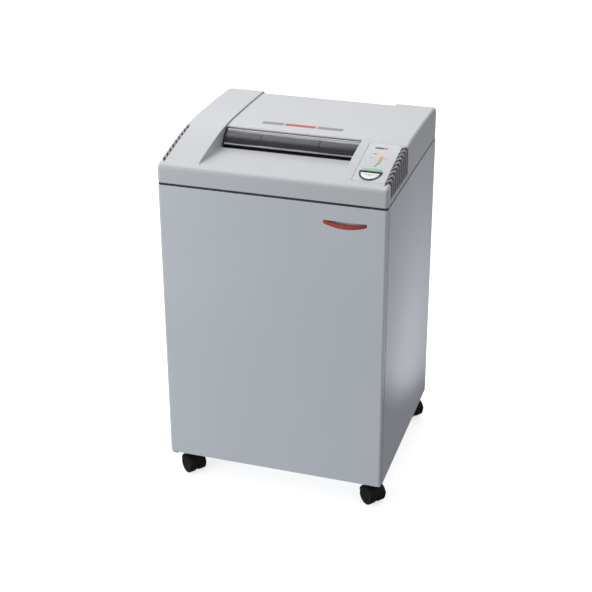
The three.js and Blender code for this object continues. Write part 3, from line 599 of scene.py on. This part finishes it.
ABOVE = 150  # over everything in the head
TRAY = {"left": -200, "right": 180, "rear": -86, "floor": 44, "lip": 58, "slot": -44}
HOOD = {"left": -200, "right": 195, "front": -41.5, "drop": 5, "thick": 4, "top": 140}
PANEL = {"x0": 206, "x1": 292, "y0": -250, "y1": -64, "thick": 1.6}
ROCKER = {"x": 245.5, "y": -225, "half": 26.5, "flat": 17, "arc": 17, "wall": 3, "depth": 14,
          "pivot": (4, -5)}  # in its own plane, towards the rear and up
ROCKER_TILT = math.atan2(top_at(ROCKER["y"] + 15) - top_at(ROCKER["y"] - 15), 30)
ON_WING = (Matrix.Translation((ROCKER["x"], ROCKER["y"], top_at(ROCKER["y"])))
           @ Matrix.Rotation(ROCKER_TILT, 4, "X"))
VENT = {"count": 9, "pitch": 20.5, "first": -241, "width": 9.5, "inner": 293, "bend": 301,
        "bottom": 23, "top": 140, "lean": 11, "corner": 9}
SHIELD = {"barrel": 4.2, "bead": 2.2, "rod": 2.35, "lowest": (-33.4, -27.6), "rib": 1.9}


def layer(name, x0, x1, y0, y1, low, high):
    """A strip that follows the head's top, from low to high above it."""
    line = [(y0, top_at(y0)), *[p for p in TOP_LINE if y0 < p[0] < y1], (y1, top_at(y1))]
    under = [(y, z + low) for y, z in line]
    over = [(y, z + high) for y, z in reversed(line)]
    return prism(name, under + over, "x", x0, x1)


def half_moon(name, grow, low, high):
    """A straight rear edge over a half ellipse, in the rocker's own plane."""
    wide, flat, deep = ROCKER["half"] + grow, ROCKER["flat"] + grow, ROCKER["arc"] + grow
    outline = [(wide, flat), *arc((0, flat), (wide, flat + deep), 180, 360, 40)[:-1]]
    return prism(name, outline, "z", low, high)


def rocker_well():
    return transform(half_moon("well", ROCKER["wall"] + FIT, -30, 30), ON_WING)


def tray_space(grow, fillet):
    """The hollow over the tray's floor, which falls from the fascia's upper edge to the slot."""
    left, right = TRAY["left"] - grow, TRAY["right"] + grow
    rings = []
    for y, z in ((TRAY["slot"] + grow, TRAY["floor"] - grow), (FRONT, TRAY["lip"] - grow)):
        corner = arc((right - fillet, z + fillet), fillet, -90, 0, 6)
        other = [(left + right - x, h) for x, h in reversed(corner)]
        rings.append([(x, y, h) for x, h in other + corner + [(right, ABOVE), (left, ABOVE)]])
    return loft("tray_space", rings)


def bent_strip(inner, outer, y0, y1):
    """Plan of a strip over a wing's edge: slanted on top and straight down the side."""
    lean, bend = VENT["lean"], VENT["bend"]
    return [(inner, y0 - lean), (bend, y0), (outer, y0), (outer, y1), (bend, y1), (inner, y1 - lean)]


def vent_window(side, grow):
    """The opening at the outer edge of a wing that the vent grille fills."""
    y0 = VENT["first"] - VENT["pitch"] / 2 - grow
    y1 = y0 + VENT["pitch"] * VENT["count"] + 2 * grow
    plan = bent_strip(VENT["inner"] - grow, HALF + 9, y0, y1)
    bottom = VENT["bottom"] - 5 - grow
    return prism("window", mirrored(plan) if side < 0 else plan, "z", bottom, VENT["top"])


def vent_slots():
    """Slots over the outer edge of both wings."""
    half = VENT["width"] / 2
    made = []
    for index in range(VENT["count"]):
        y = VENT["first"] + index * VENT["pitch"]
        plan = bent_strip(VENT["inner"] + 1, HALF + 5, y - half, y + half)
        made += [prism("slot", line, "z", VENT["bottom"], VENT["top"])
                 for line in (plan, mirrored(plan))]
    return gather("vent_slots", made)


def hood_lines():
    """Upper and lower line of the hood in the side view."""
    front, drop, thick = HOOD["front"], HOOD["drop"], HOOD["thick"]
    rear = bezier([(250, top_at(250) - drop), (264, 90), (274, 88), (276, 81.5)], 8)
    base = top_at(front) - drop
    nose = bezier([(front, base - 3.5), (front + 0.2, base - 0.6),
                   (front + 4, top_at(front + 4) - drop)], 5)
    middle = [(y, z - drop) for y, z in TOP_LINE if front + 6 < y < 248]
    under = [(front, base - thick - 1), (front + 4, base - thick)]
    under += [(y, z - thick) for y, z in middle]
    under += [(262, 90 - thick), (BACK - 6, 82.5), (BACK - 1.4, 79.5)]
    return nose + middle + rear, under


def plate_outline(grow):
    return round_rectangle(PANEL["x0"] - grow, PANEL["x1"] + grow, PANEL["y0"] - grow,
                           PANEL["y1"] + grow, 5)


def rear_hole(low, high):
    """The opening behind a rear flange, which covers its edges by about 3 mm."""
    x, z = 3.5 - FIT, 3 - FIT
    return block("rear_hole", low.x + x, high.x - x, BACK - 20, BACK + 20, low.z - SEAM + z,
                 high.z - SEAM - z)


def head_shell():
    outer = prism("head_shell", SIDE_VIEW, "x", -HALF, HALF, VENT["corner"], 7)
    cross(outer, block("trim", -400, 400, -400, 400, HEAD_BOTTOM, ABOVE))

    hollow = prism("hollow", inset(SIDE_VIEW, WALL), "x", -HALF + WALL, HALF - WALL, 6, 4)
    cross(hollow, block("trim", -400, 400, -400, 400, HEAD_BOTTOM + 3, ABOVE))
    slot, rest = TRAY["slot"], 87
    cut(hollow,
        tray_space(WALL, 8),
        block("hood_rest", HOOD["left"] - WALL, HOOD["left"], slot, BACK, rest, ABOVE),
        block("hood_rest", HOOD["right"], HOOD["right"] + WALL, slot, BACK, rest, ABOVE))

    under = [(y, z - FIT) for y, z in hood_lines()[1]]
    bed = [(HOOD["front"] - FIT, under[0][1]), *under, (BACK + 10, under[-1][1]),
           (BACK + 10, HOOD["top"]), (HOOD["front"] - FIT, HOOD["top"])]
    recess = layer("recess", PANEL["x0"] - 10, PANEL["x1"] + 10, PANEL["y0"] - 6, PANEL["y1"] + 9,
                   -PANEL["thick"] - FIT, 30)
    cross(recess, prism("around", plate_outline(0.8), "z", -50, ABOVE))
    lip = WALL + 8
    cut(outer, hollow,
        block("mouth", -HALF + lip, HALF - lip, FRONT + lip, BACK - lip, 0, HEAD_BOTTOM + 4),
        tray_space(0, 6),
        block("throat", TRAY["left"], TRAY["right"], TRAY["rear"], slot + WALL + 4, 10, ABOVE),
        prism("hood_bed", bed, "x", HOOD["left"], HOOD["right"]),
        recess,
        rocker_well(),
        rear_hole(*corners("mains_inlet")),
        rear_hole(*corners("mains_switch_housing")),
        vent_window(-1, 0), vent_window(1, 0))

    def share(at):
        """Sharper edges round the panel and the vents, and none rounded in the hollow."""
        if (PANEL["x0"] - 4 < at.x < PANEL["x1"] + 3
                and PANEL["y0"] - 4 < at.y < PANEL["y1"] + 4):
            return 0.2
        if VENT["inner"] - 2 < abs(at.x) and VENT["bottom"] - 8 < at.z and at.y < -55:
            return 0.3
        skin = 3.2
        inside = abs(at.x) < HALF - skin and FRONT + skin < at.y < BACK - skin
        return 0.0 if inside and at.z < min(40, top_at(at.y) - 7) else 1.0

    return lift(soften(outer, 1.4, 3, share))


def edge_band(name, trim, thick, grow):
    """The skin of both wings' rounded outer edges inside the vent windows."""
    start, end, low, corner = -268, -60, VENT["bottom"] - 12, VENT["corner"]
    stations = [start, *[y for y, z in TOP_LINE if start < y < end], end]
    parts = []
    for side in (-1, 1):
        rings = []
        for y in stations:
            bend = (HALF - corner, top_at(y) - corner)
            outer = arc(bend, corner - trim, 90, 0, 7)
            inner = arc(bend, corner - trim - thick, 0, 90, 7)
            outer = [(VENT["inner"] - 3, outer[0][1]), *outer, (outer[-1][0], low)]
            inner = [(inner[0][0], low), *inner, (VENT["inner"] - 3, inner[-1][1])]
            rings.append([(side * x, y, z) for x, z in outer + inner])
        parts.append(cross(loft("skin", rings), vent_window(side, grow)))
    return gather(name, parts)


def build_vents():
    """Wing grilles, casing plastic greyed as painted shade, over a dark sheet of painted shade."""
    grille = cut(edge_band("vent_grille", 0.3, 3.5, -FIT), vent_slots())
    # Casing plastic, in a darker grey as painted shade on the ribs.
    place(lift(soften(grille, 0.5, 2)), "casing_plastic", look=LOOKS["vent_painted_shade_grey"])
    # A dark sheet behind the slots: painted shade inside them.
    slot_shade = edge_band("vent_slot_shade", 6, 1.2, 1)
    place(lift(smooth(slot_shade)), "dark_plastic", look=LOOKS["vent_dark"])


def printed(made, ink):
    """Finishes a thin piece of print on the head."""
    slot = "red_plastic" if ink == "red" else "dark_plastic"
    place(lift(smooth(made)), slot, look=INKS[ink])


# Generic bars on the hood: left, right, front and rear end, ink.
HOOD_BARS = {
    "left": (-114, -54, -2.5, 15, "grey"),
    "middle": (-50, 36, -2, 14.5, "red"),
    "right": (40, 112, -2.5, 15, "grey"),
}


def build_hood():
    over, under = hood_lines()
    hood = prism("hood_cover", under + over[::-1], "x", HOOD["left"] + 0.8, HOOD["right"] - 0.8)
    place(lift(soften(hood, 0.9)), "casing_plastic", "hood_panel")
    low, high = 0.02 - HOOD["drop"], 0.2 - HOOD["drop"]
    for name, (x0, x1, y0, y1, ink) in HOOD_BARS.items():
        printed(layer("hood_bar_" + name, x0, x1, y0, y1, low, high), ink)


def build_throat():
    """Dark end blocks, the plate that leads paper in, and the wall behind the shield."""
    low, high = corners("throat_frame")
    axle = sum(corners("shield_axle"), Vector()) / 2
    cheek = [(-84, 25), (-38, 25), (-38, 74), (-43.4, 77), (-43.4, 90), (-52, 90), (-85, 49)]
    walls = []
    for x0, x1 in ((low.x, low.x + 5), (high.x - 5, high.x)):
        wall = prism("wall", cheek, "x", x0, x1)
        cut(wall, rod("bore", "x", (axle.y, axle.z - SEAM), 2.6, x0 - 1, x1 + 1))
        walls.append(wall)
    ends = soften(gather("throat_cheeks", walls), 0.9)
    place(lift(ends), "dark_plastic", "throat_frame")

    guide = [(-85, 42), (-40, 33), (-40, 36), (-66, 41.4), (-85, 45.5)]
    plate = prism("feed_guide", guide, "x", low.x + 5.2, high.x - 5.2)
    rib = [(-84, 45.3), (-41, 36.2), (-41, 36.9), (-60, 41.3), (-84, 45.9)]
    ribs = [prism("rib", rib, "x", x - 0.9, x + 0.9) for x in range(-174, 165, 24)]
    union(plate, gather("ribs", ribs))
    place(lift(soften(plate, 0.25, 2)), "dark_plastic", look=LOOKS["vent_dark"])

    shroud = [(-42.4, 47.5), (-40.4, 45.5), (-38.6, 45.5), (-38.6, 86.5), (-42.4, 86.5)]
    back = prism("throat_back", shroud, "x", low.x + 5.2, high.x - 5.2)
    place(lift(soften(back, 0.5, 2)), "dark_plastic")


def around(centre, radius, start, end, steps):
    """Counter-clockwise arc from the direction of one point to that of another."""
    a = math.degrees(math.atan2(start[1] - centre[1], start[0] - centre[0]))
    b = math.degrees(math.atan2(end[1] - centre[1], end[0] - centre[0]))
    return arc(centre, radius, a, b if b > a else b + 360, steps)[1:-1]


def build_shield():
    """Curved clear flap: hinge barrel, plate, a bead to lift it by, and two ribs across it."""
    low, high = corners("safety_shield")
    axle = JOINTS["shield_lift"]
    barrel, bead, lowest = SHIELD["barrel"], SHIELD["bead"], SHIELD["lowest"]
    curve = bezier([(-2, 0), (-27, -5), (-34, -27)], 24)

    def clear(line):
        return [p for p in line if math.hypot(*p) > barrel + 0.2
                and math.dist(p, lowest) > bead + 0.2]

    outer = clear([(y, z + 0.4) for y, z in curve])
    inner = clear([(y + 1.7, z - 1.8) for y, z in curve])
    outline = outer + around(lowest, bead, outer[-1], inner[-1], 14)
    outline += inner[::-1] + around((0, 0), barrel, inner[0], outer[0], 28)
    flap = prism("shield_flap", outline, "x", low.x, high.x, 0.5, 3)
    cut(flap, rod("bore", "x", (0, 0), SHIELD["rod"], low.x - 1, high.x + 1, sides=24))
    turn = Matrix.Translation((0, axle.y, axle.z))
    place(transform(smooth(flap, 40), turn), "smoked_plastic", "safety_shield", body="shield")
    rib = [(y - 0.2, z + 0.7) for y, z in curve[4:-3]]
    rib += [(y + 4.2, z - 4.1) for y, z in reversed(curve[4:-3])]
    for name, share in (("left", 0.27), ("right", 0.71)):
        x = low.x + (high.x - low.x) * share
        made = prism("shield_rib_" + name, rib, "x", x - SHIELD["rib"], x + SHIELD["rib"], 0.3, 2)
        place(transform(smooth(made, 40), turn), "smoked_plastic", body="shield",
              look=LOOKS["dark_plastic"])


def on_panel(name, outline, low, high):
    """A thin inlay or print on the control panel, cut from a strip that follows the wing."""
    made = layer(name, PANEL["x0"] - 10, PANEL["x1"] + 10, PANEL["y0"] - 10, PANEL["y1"] + 14,
                 low, high)
    return cross(made, prism("around", outline, "z", -50, ABOVE))


def level_outline(grow):
    """A bent bar that widens from 3.6 to 7.4 mm away from the rocker."""
    steps = 16
    line = bezier([(247, -182), (258, -160), (253, -132)], steps)
    line[0], line[-1] = (line[0][0], line[0][1] - grow), (line[-1][0], line[-1][1] + grow)
    width = [1.8 + 1.9 * k / steps + grow for k in range(steps + 1)]
    right = [(x + w, y) for (x, y), w in zip(line, width)]
    left = [(x - w, y) for (x, y), w in zip(line, width)]
    return right + left[::-1]


def light_outline(grow):
    x, half, low, high = ROCKER["x"], 26, -202.5, -191.5
    return round_rectangle(x - half - grow, x + half + grow, low - grow, high + grow, 4.5)


# Generic marks on the control panel: x, y, half length, half height, ink.
MARKS = {
    "title": (238.5, -91, 12.5, 3.8, "black"),
    "title_end": (255.5, -91, 3.2, 3.8, "red"),
    "caption": (234, -122, 5.4, 2.2, "grey"),
    "level_tick": (228.5, -142, 3.4, 1.2, "grey"),
    "warning_dot": (262, -142, 2.6, 3.6, "orange"),
    "warning_tick": (269.5, -140.5, 2.4, 1.6, "grey"),
}


def build_panel():
    plate = on_panel("panel_overlay", plate_outline(0), -PANEL["thick"], 0)
    cut(plate, rocker_well(),
        prism("light_hole", light_outline(FIT), "z", -50, ABOVE),
        prism("level_hole", level_outline(FIT), "z", -50, ABOVE))
    place(lift(soften(plate, 0.3, 2)), "casing_plastic", "control_panel_plate",
          look=LOOKS["panel_film"])
    lens = on_panel("status_lens", light_outline(0), -PANEL["thick"], 0.4)
    place(lift(soften(lens, 0.3, 2)), "green_light", "status_light")
    level = on_panel("level_lens", level_outline(0), -PANEL["thick"], 0.4)
    place(lift(soften(level, 0.3, 2)), "level_bar", "capacity_indicator")
    for name, (x, y, wide, high, ink) in MARKS.items():
        outline = round_rectangle(x - wide, x + wide, y - high, y + high, high * 0.6, 4)
        printed(on_panel("mark_" + name, outline, 0.02, 0.12), ink)


def build_rocker():
    cup = half_moon("rocker_cup", ROCKER["wall"], -ROCKER["depth"], 0.6)
    union(cup, half_moon("flange", ROCKER["wall"] + 1.2, -0.3, 1.1))
    cut(cup, half_moon("inside", 0, 2 - ROCKER["depth"], 3),
        rod("bore", "x", ROCKER["pivot"], 1.9, -40, 40))
    soften(cup, 0.4)
    place(lift(transform(cup, ON_WING)), "dark_plastic", "rocker_bezel")

    # The button's face is domed: size of the outline about its middle, and height.
    half, flat, deep = ROCKER["half"] - 1.5, ROCKER["flat"] - 4.6, ROCKER["arc"] - 3
    outline = [(half, flat), *arc((0, flat), (half, flat + deep), 180, 360, 48)[:-1]]
    outline = [p for k, p in enumerate(outline) if math.dist(p, outline[k - 1]) > 0.1]
    middle = Vector((0, flat - 0.42 * (flat + deep)))
    levels = [(0.97, -9), (1, -8.2), (1, 0.4), (0.985, 1.1), (0.95, 1.6), (0.85, 1.95),
              (0.7, 2.2), (0.5, 2.35), (0.3, 2.4), (0.1, 2.4)]
    rings = [[(*(middle + (Vector(p) - middle) * size), z) for p in outline] for size, z in levels]
    button = loft("rocker_button", rings)
    cut(button, rod("bore", "x", ROCKER["pivot"], 1.6, -40, 40))
    smooth(button, 40)
    even_out(button)
    place(lift(transform(button, ON_WING)), "silver_plastic", "control_rocker",
          body="control_button")
    dash = prism("rocker_dash", round_rectangle(-2.6, 2.6, 0.4, 2.0, 0.7, 4), "z", 2.3, 2.5)
    place(lift(transform(dash, ON_WING)), "dark_plastic", body="control_button",
          look=INKS["grey"])


def build_head():
    place(head_shell(), "casing_plastic", "head_casing")
    build_hood()
    build_vents()
    build_throat()
    build_shield()
    build_panel()
    build_rocker()


# ---- Cabinet and door ----

DOOR_PIVOT = JOINTS["door_swing"].xy
GRIP = {"x": 198.5, "z": 841, "half": 57, "tip": 3, "heel": -6, "fall": 17.5, "depth": 12}


def smile(trim, sag, raised=0):
    """Outline between blunt tips: a slightly sagging upper edge over a deeper lower arc."""
    wide, tip, heel = GRIP["half"] - trim, GRIP["tip"] - trim, GRIP["heel"] + trim
    lowest = -2 * (GRIP["fall"] - trim) - heel
    lower = bezier([(-wide, heel), (0, lowest), (wide, heel)], 30)
    upper = bezier([(wide, tip + raised), (0, tip + raised - 2 * sag), (-wide, tip + raised)], 30)
    return [(GRIP["x"] + u, GRIP["z"] + v) for u, v in lower + upper]


def build_door():
    bore, deep = 3.2, 13
    outline = round_rectangle(-HALF, HALF, DOOR_LOW.y, DOOR_HIGH.y, 8, 8)
    door = prism("door_slab", outline, "z", DOOR_LOW.z, DOOR_HIGH.z, 1.6, 4)
    cut(door, prism("pocket", smile(0, 0.7), "y", FRONT - 1, FRONT + GRIP["depth"]),
        rod("bore", "z", DOOR_PIVOT, bore, DOOR_LOW.z - 1, DOOR_LOW.z + deep, sides=32),
        rod("bore", "z", DOOR_PIVOT, bore, DOOR_HIGH.z - deep, DOOR_HIGH.z + 1, sides=32))
    soften(door, 0.9, 3, lambda at: 1.0 if at.y < FRONT + 13 and at.z > 800 else 0.3)
    place(door, "cabinet_board", "front_door", body="door")

    scoop = prism("handle_scoop", smile(0.4, 9.6), "y", FRONT + 0.2, FRONT + 11.7)
    cut(scoop, prism("trough", smile(3.2, 7.6, 14), "y", FRONT + 4.2, FRONT + 14))
    soften(scoop, 1.7, 5, lambda at: 1.0 if at.y < FRONT + 2 else 0.3)
    place(scoop, "red_plastic", "door_handle", body="door")


def screw(name, at, radius=4.2):
    """A domed cross-head screw in the rear, with its head's underside at a given place."""
    profile = [(0, -2), (radius * 0.55, -2), (radius * 0.55, 0), (radius, 0),
               (radius, 0.5), (radius * 0.82, 1.0), (radius * 0.5, 1.35), (0, 1.5)]
    head = turned(name, profile, (0, 0), 32)
    arms = [block("arm", 0.2, 4, -radius * 0.5, radius * 0.5, -0.5, 0.5),
            block("arm", 0.2, 4, -0.5, 0.5, -radius * 0.5, radius * 0.5)]
    cut(head, *arms)
    smooth(head, 40)
    turn = Vector((0, 1, 0)).to_track_quat("X", "Z").to_matrix().to_4x4()
    transform(head, Matrix.Translation(at) @ turn)
    place(head, "plated_steel")


def build_bin():
    """Open tub with a rolled rim and a hand hole in the front and the rear."""
    low, high = corners("shred_bin")
    # Height, growth past the CAD outline and corner radius: up the outside and down the inside.
    levels = [(low.z, -5, 18), (low.z + 1.5, -1.8, 20), (low.z + 5, -0.6, 21), (high.z - 14, 0, 22),
              (high.z - 1, 0, 22), (high.z, -0.9, 21), (high.z, -2.2, 20), (high.z - 1, -3, 19),
              (low.z + 9, -3.6, 18), (low.z + 4.5, -5, 17), (low.z + 3.2, -9, 14)]
    rings = []
    for z, grow, corner in levels:
        line = round_rectangle(low.x - grow, high.x + grow, low.y - grow, high.y + grow, corner, 8)
        rings.append([(x, y, z) for x, y in line])
    bin_tub = loft("bin_tub", rings)
    half, bottom, top = 55, 588, 623
    hole = round_rectangle(-half, half, bottom, top, 14, 8)
    cut(bin_tub, prism("hand_hole", hole, "y", low.y - 5, low.y + 8),
        prism("hand_hole", hole, "y", high.y - 8, high.y + 5))
    soften(bin_tub, 0.8, 3, lambda at: 1.0 if bottom - 8 < at.z < top + 7 else 0.0, 40)
    place(bin_tub, "bin_plastic", "shred_bin")


def build_seam_shade_strip():
    """Black strip filling the seam gap between cabinet and head: painted shade, drawn as a foam seal."""
    low, high = corners("chassis_base_plate")
    x, y = HALF - 1.2, BACK - 1.8
    outer = round_rectangle(-x, x, -y, y, 5)
    inner = round_rectangle(low.x - 0.2, high.x + 0.2, low.y - 0.2, high.y + 0.2, 1)
    # Black all round as painted shade in the seam gap.
    strip = prism("seam_shade_strip", outer, "z", SEAM + FIT, SEAM + HEAD_BOTTOM - FIT)
    cut(strip, prism("inside", inner, "z", SEAM - 1, SEAM + HEAD_BOTTOM + 1))
    place(soften(strip, 0.4, 2), "dark_plastic")


def build_rating_plate():
    """A riveted plate on the rear panel with plain lines in place of its lettering."""
    back = corners("rear_panel")[1].y
    left, right, low, high = 96, 196, 786, 842
    thick, margin, row_height, thin = 0.5, 9, 8, 1.3
    plate = prism("rating_plate", round_rectangle(left, right, low, high, 4), "y", back, back + thick)
    place(soften(plate, 0.2, 2), "plated_steel")
    lines = []
    for row in range(5):
        z = high - 12 - row * row_height
        end = right - margin - (row * 17) % 31  # ragged ends, as lettering has
        outline = round_rectangle(left + margin, end, z - thin, z + thin, 0.8, 3)
        lines.append(prism("line", outline, "y", back + thick - 0.05, back + thick + 0.06))
    place(smooth(gather("rating_lines", lines)), "dark_plastic", look=INKS["grey"])
    for x in (left + margin / 2, right - margin / 2):
        screw(f"plate_rivet_{x:.0f}", (x, back + thick, (low + high) / 2), 1.8)


def build_hinge(name, down):
    """A pivot bracket whose pin points into the door."""
    low, high = corners(name + "_hinge_bracket")
    thick = 2.2
    z0, z1 = (low.z, low.z + thick) if down else (high.z - thick, high.z)
    bracket = prism(name + "_hinge", round_rectangle(low.x, high.x, low.y, high.y, 6, 6), "z", z0, z1)
    reach = (z0 + 0.5, high.z) if down else (low.z, z1 - 0.5)
    union(bracket, rod("pin", "z", DOOR_PIVOT, 3, *reach, 0.6, 32))
    place(soften(bracket, 0.3, 2), "plated_steel", name + "_hinge_bracket")


def build_cabinet():
    build_door()
    build_rating_plate()
    build_seam_shade_strip()
    build_bin()
    low, high = corners("rear_panel")
    for row, z in enumerate((low.z + 14, 330, 610, high.z - 14)):
        for column, x in enumerate((-282, 282)):
            screw(f"rear_screw_{row}_{column}", (x, high.y, z))
    build_hinge("lower", True)
    build_hinge("upper", False)


# ---- Drive ----

CUTTERS = {"left": -193, "right": 173, "disc": 26, "core": 22, "shaft": 9, "cells": 60}


def round_bar(node, name, slot, rounding=0.6):
    """A smooth bar along X in place of a faceted CAD node."""
    low, high = corners(node)
    middle = (low + high) / 2
    radius = min(high.y - low.y, high.z - low.z) / 2
    bar = rod(name, "x", middle.yz, radius, low.x, high.x, rounding)
    place(smooth(bar, 40), slot, node)


def cells(first, gap):
    """Both ends of every second cell along the cylinders, less a gap at each end."""
    width = (CUTTERS["right"] - CUTTERS["left"]) / CUTTERS["cells"]
    starts = [CUTTERS["left"] + k * width for k in range(first, CUTTERS["cells"], 2)]
    return [(a + gap, a + width - gap) for a in starts]


def cutting_cylinder(side, first):
    """Narrow discs on every second cell; the other cylinder's discs run in the gaps."""
    body, node = side + "_cylinder", side + "_cutting_cylinder"
    low, high = corners(node)
    centre = JOINTS[body + "_spin"]
    core, disc, shaft = CUTTERS["core"], CUTTERS["disc"], CUTTERS["shaft"]
    left, right = CUTTERS["left"] - 3, CUTTERS["right"] + 3
    edge = 0.3
    profile = [(0, low.x), (shaft - 1, low.x), (shaft, low.x + 1), (shaft, left), (core, left)]
    for a, b in cells(first, 0.35):
        profile += [(core, a), (disc - edge, a), (disc, a + edge), (disc, b - edge),
                    (disc - edge, b), (core, b)]
    profile += [(core, right), (shaft, right), (shaft, high.x - 1), (shaft - 1, high.x), (0, high.x)]
    made = turned(body + "_discs", profile, (centre.y, centre.z), 56)
    place(smooth(made, 35), "machined_steel", node, body=body)


def stripper_comb(side, first):
    """A plate whose fingers reach into the gaps between the discs."""
    node = side + "_stripper_comb"
    low, high = corners(node)
    root = low.y + 3.8
    outline = [(low.x, high.y), (low.x, root)]
    for a, b in cells(first, 0.9):
        outline += [(a, root), (a, low.y), (b, low.y), (b, root)]
    outline += [(high.x, root), (high.x, high.y)]
    comb = prism(side + "_comb", outline, "z", low.z, high.z)
    place(soften(comb, 0.25, 2), "plated_steel", node)


def build_drive():
    cutting_cylinder("upper", 0)
    cutting_cylinder("lower", 1)
    stripper_comb("lower", 0)
    stripper_comb("upper", 1)
    round_bar("tie_rod", "tie_bar", "machined_steel")
    round_bar("shield_axle", "shield_rod", "machined_steel", 0.4)
    round_bar("gear_axle", "gear_shaft", "machined_steel")
    round_bar("run_capacitor", "motor_capacitor", "plated_steel", 2)


# ---- Casters ----

def caster_frame(name):
    """Stem foot and the turn from the caster's own axes (x along its trail, y along its axle)."""
    stem = JOINTS[f"swivel_{name}_turn"]
    wheels = [JOINTS[f"roll_{name}_{side}_turn"] for side in "ab"]
    middle = (wheels[0] + wheels[1]) / 2
    trail = Vector((middle.x - stem.x, middle.y - stem.y, 0))
    x = trail.normalized()
    z = Vector((0, 0, 1))
    turn = Matrix((x, z.cross(x), z)).transposed().to_4x4()
    return Matrix.Translation((stem.x, stem.y, 0)) @ turn, trail.length, middle, wheels


def caster_body(trail, wheel):
    """Hood over the wheels, web between them, collar and stem."""
    outer = arc((trail, wheel), 31, 11, 169, 30)
    inner = arc((trail, wheel), 28, 169, 11, 30)
    body = prism("caster", outer + inner, "y", -24, 24, 1.2, 3)
    web = [(trail - 10, wheel - 12), (trail + 10, wheel - 12), (trail + 14, wheel),
           (trail + 14, wheel + 28), (-8, wheel + 24), (-8, wheel + 12)]
    union(body, prism("web", web, "y", -3.6, 3.6),
          rod("axle", "y", (trail, wheel), 4, -24.5, 24.5, 1),
          rod("collar", "z", (0, 0), 10, wheel + 25.4, 67.7, 1.2),
          rod("stem", "z", (0, 0), 5.5, 66, 80.4, 1))
    return soften(body, 0.7, angle=38)


def wheel_body(half, radius, bore):
    """Solid wheel: soft tread with two grooves, dished outer face and a hub cap."""
    fillet, deep = 3, 0.9
    tread = []
    for x in (-half + 6, half - 6):
        tread += [(radius, x - 1.2), (radius - deep, x - 0.7), (radius - deep, x + 0.7),
                  (radius, x + 1.2)]
    shoulder = radius - fillet
    inner = [(bore, -half), *arc((shoulder, -half + fillet), fillet, -90, 0, 5)]
    outer = arc((shoulder, half - fillet), fillet, 0, 90, 5)
    face = [(radius - 5, half), (radius - 6.5, half - 1.6), (bore + 8, half - 2.2),
            (bore + 6, half - 0.6), (bore + 1.6, half - 0.4), (bore, half - 1)]
    return turned("wheel", inner + tread + outer + face, (0, 0), 72)


def build_casters():
    matrix, trail, middle, wheels = caster_frame("front_left")
    body = caster_body(trail, middle.z)
    half = (wheels[0] - wheels[1]).length / 2 - 4.3
    wheel = smooth(wheel_body(half, middle.z, 4.15), 35)
    for name in ("front_left", "front_right", "rear_right", "rear_left"):
        matrix, trail, middle, wheels = caster_frame(name)
        made = copy(body, "caster_body_" + name)
        place(transform(made, matrix), "caster_nylon", "caster_" + name, body="swivel_" + name)
        for side, centre in zip("ab", wheels):
            outward, up = (centre - middle).normalized(), Vector((0, 0, 1))
            turn = Matrix((outward, up.cross(outward), up))
            tyre = copy(wheel, f"tyre_{name}_{side}")
            transform(tyre, Matrix.Translation(centre) @ turn.transposed().to_4x4())
            place(tyre, "wheel_rubber", f"wheel_{name}_{side}", body=f"roll_{name}_{side}")
    remove(body)
    remove(wheel)


# ---- CAD nodes in view ----

def finish_cad_nodes():
    """Gives each remaining CAD node its material, and rounds its edges a little."""
    for entry in frame["record"]["subparts"]:
        node = frame["nodes"][entry["node"]]
        node.data.materials.clear()
        node.data.materials.append(LOOKS[entry["material_slot"]])
        if node.hide_render:
            continue
        weld = node.modifiers.new("weld", "WELD")
        weld.merge_threshold = 0.01 * MM
        flat = node.modifiers.new("flat_faces", "DECIMATE")
        flat.decimate_type = "DISSOLVE"
        flat.angle_limit = math.radians(0.4)
        bevel = node.modifiers.new("edge_rounding", "BEVEL")
        large = entry["node"].endswith(("panel", "board"))
        bevel.width = (0.8 if large else 0.3) * MM
        bevel.segments = 3 if large else 2
        bevel.angle_limit = math.radians(32)
        even_out(node)


set_camera()
set_sky()
set_lights()
set_floor()
build_head()
build_cabinet()
build_drive()
build_casters()
finish_cad_nodes()
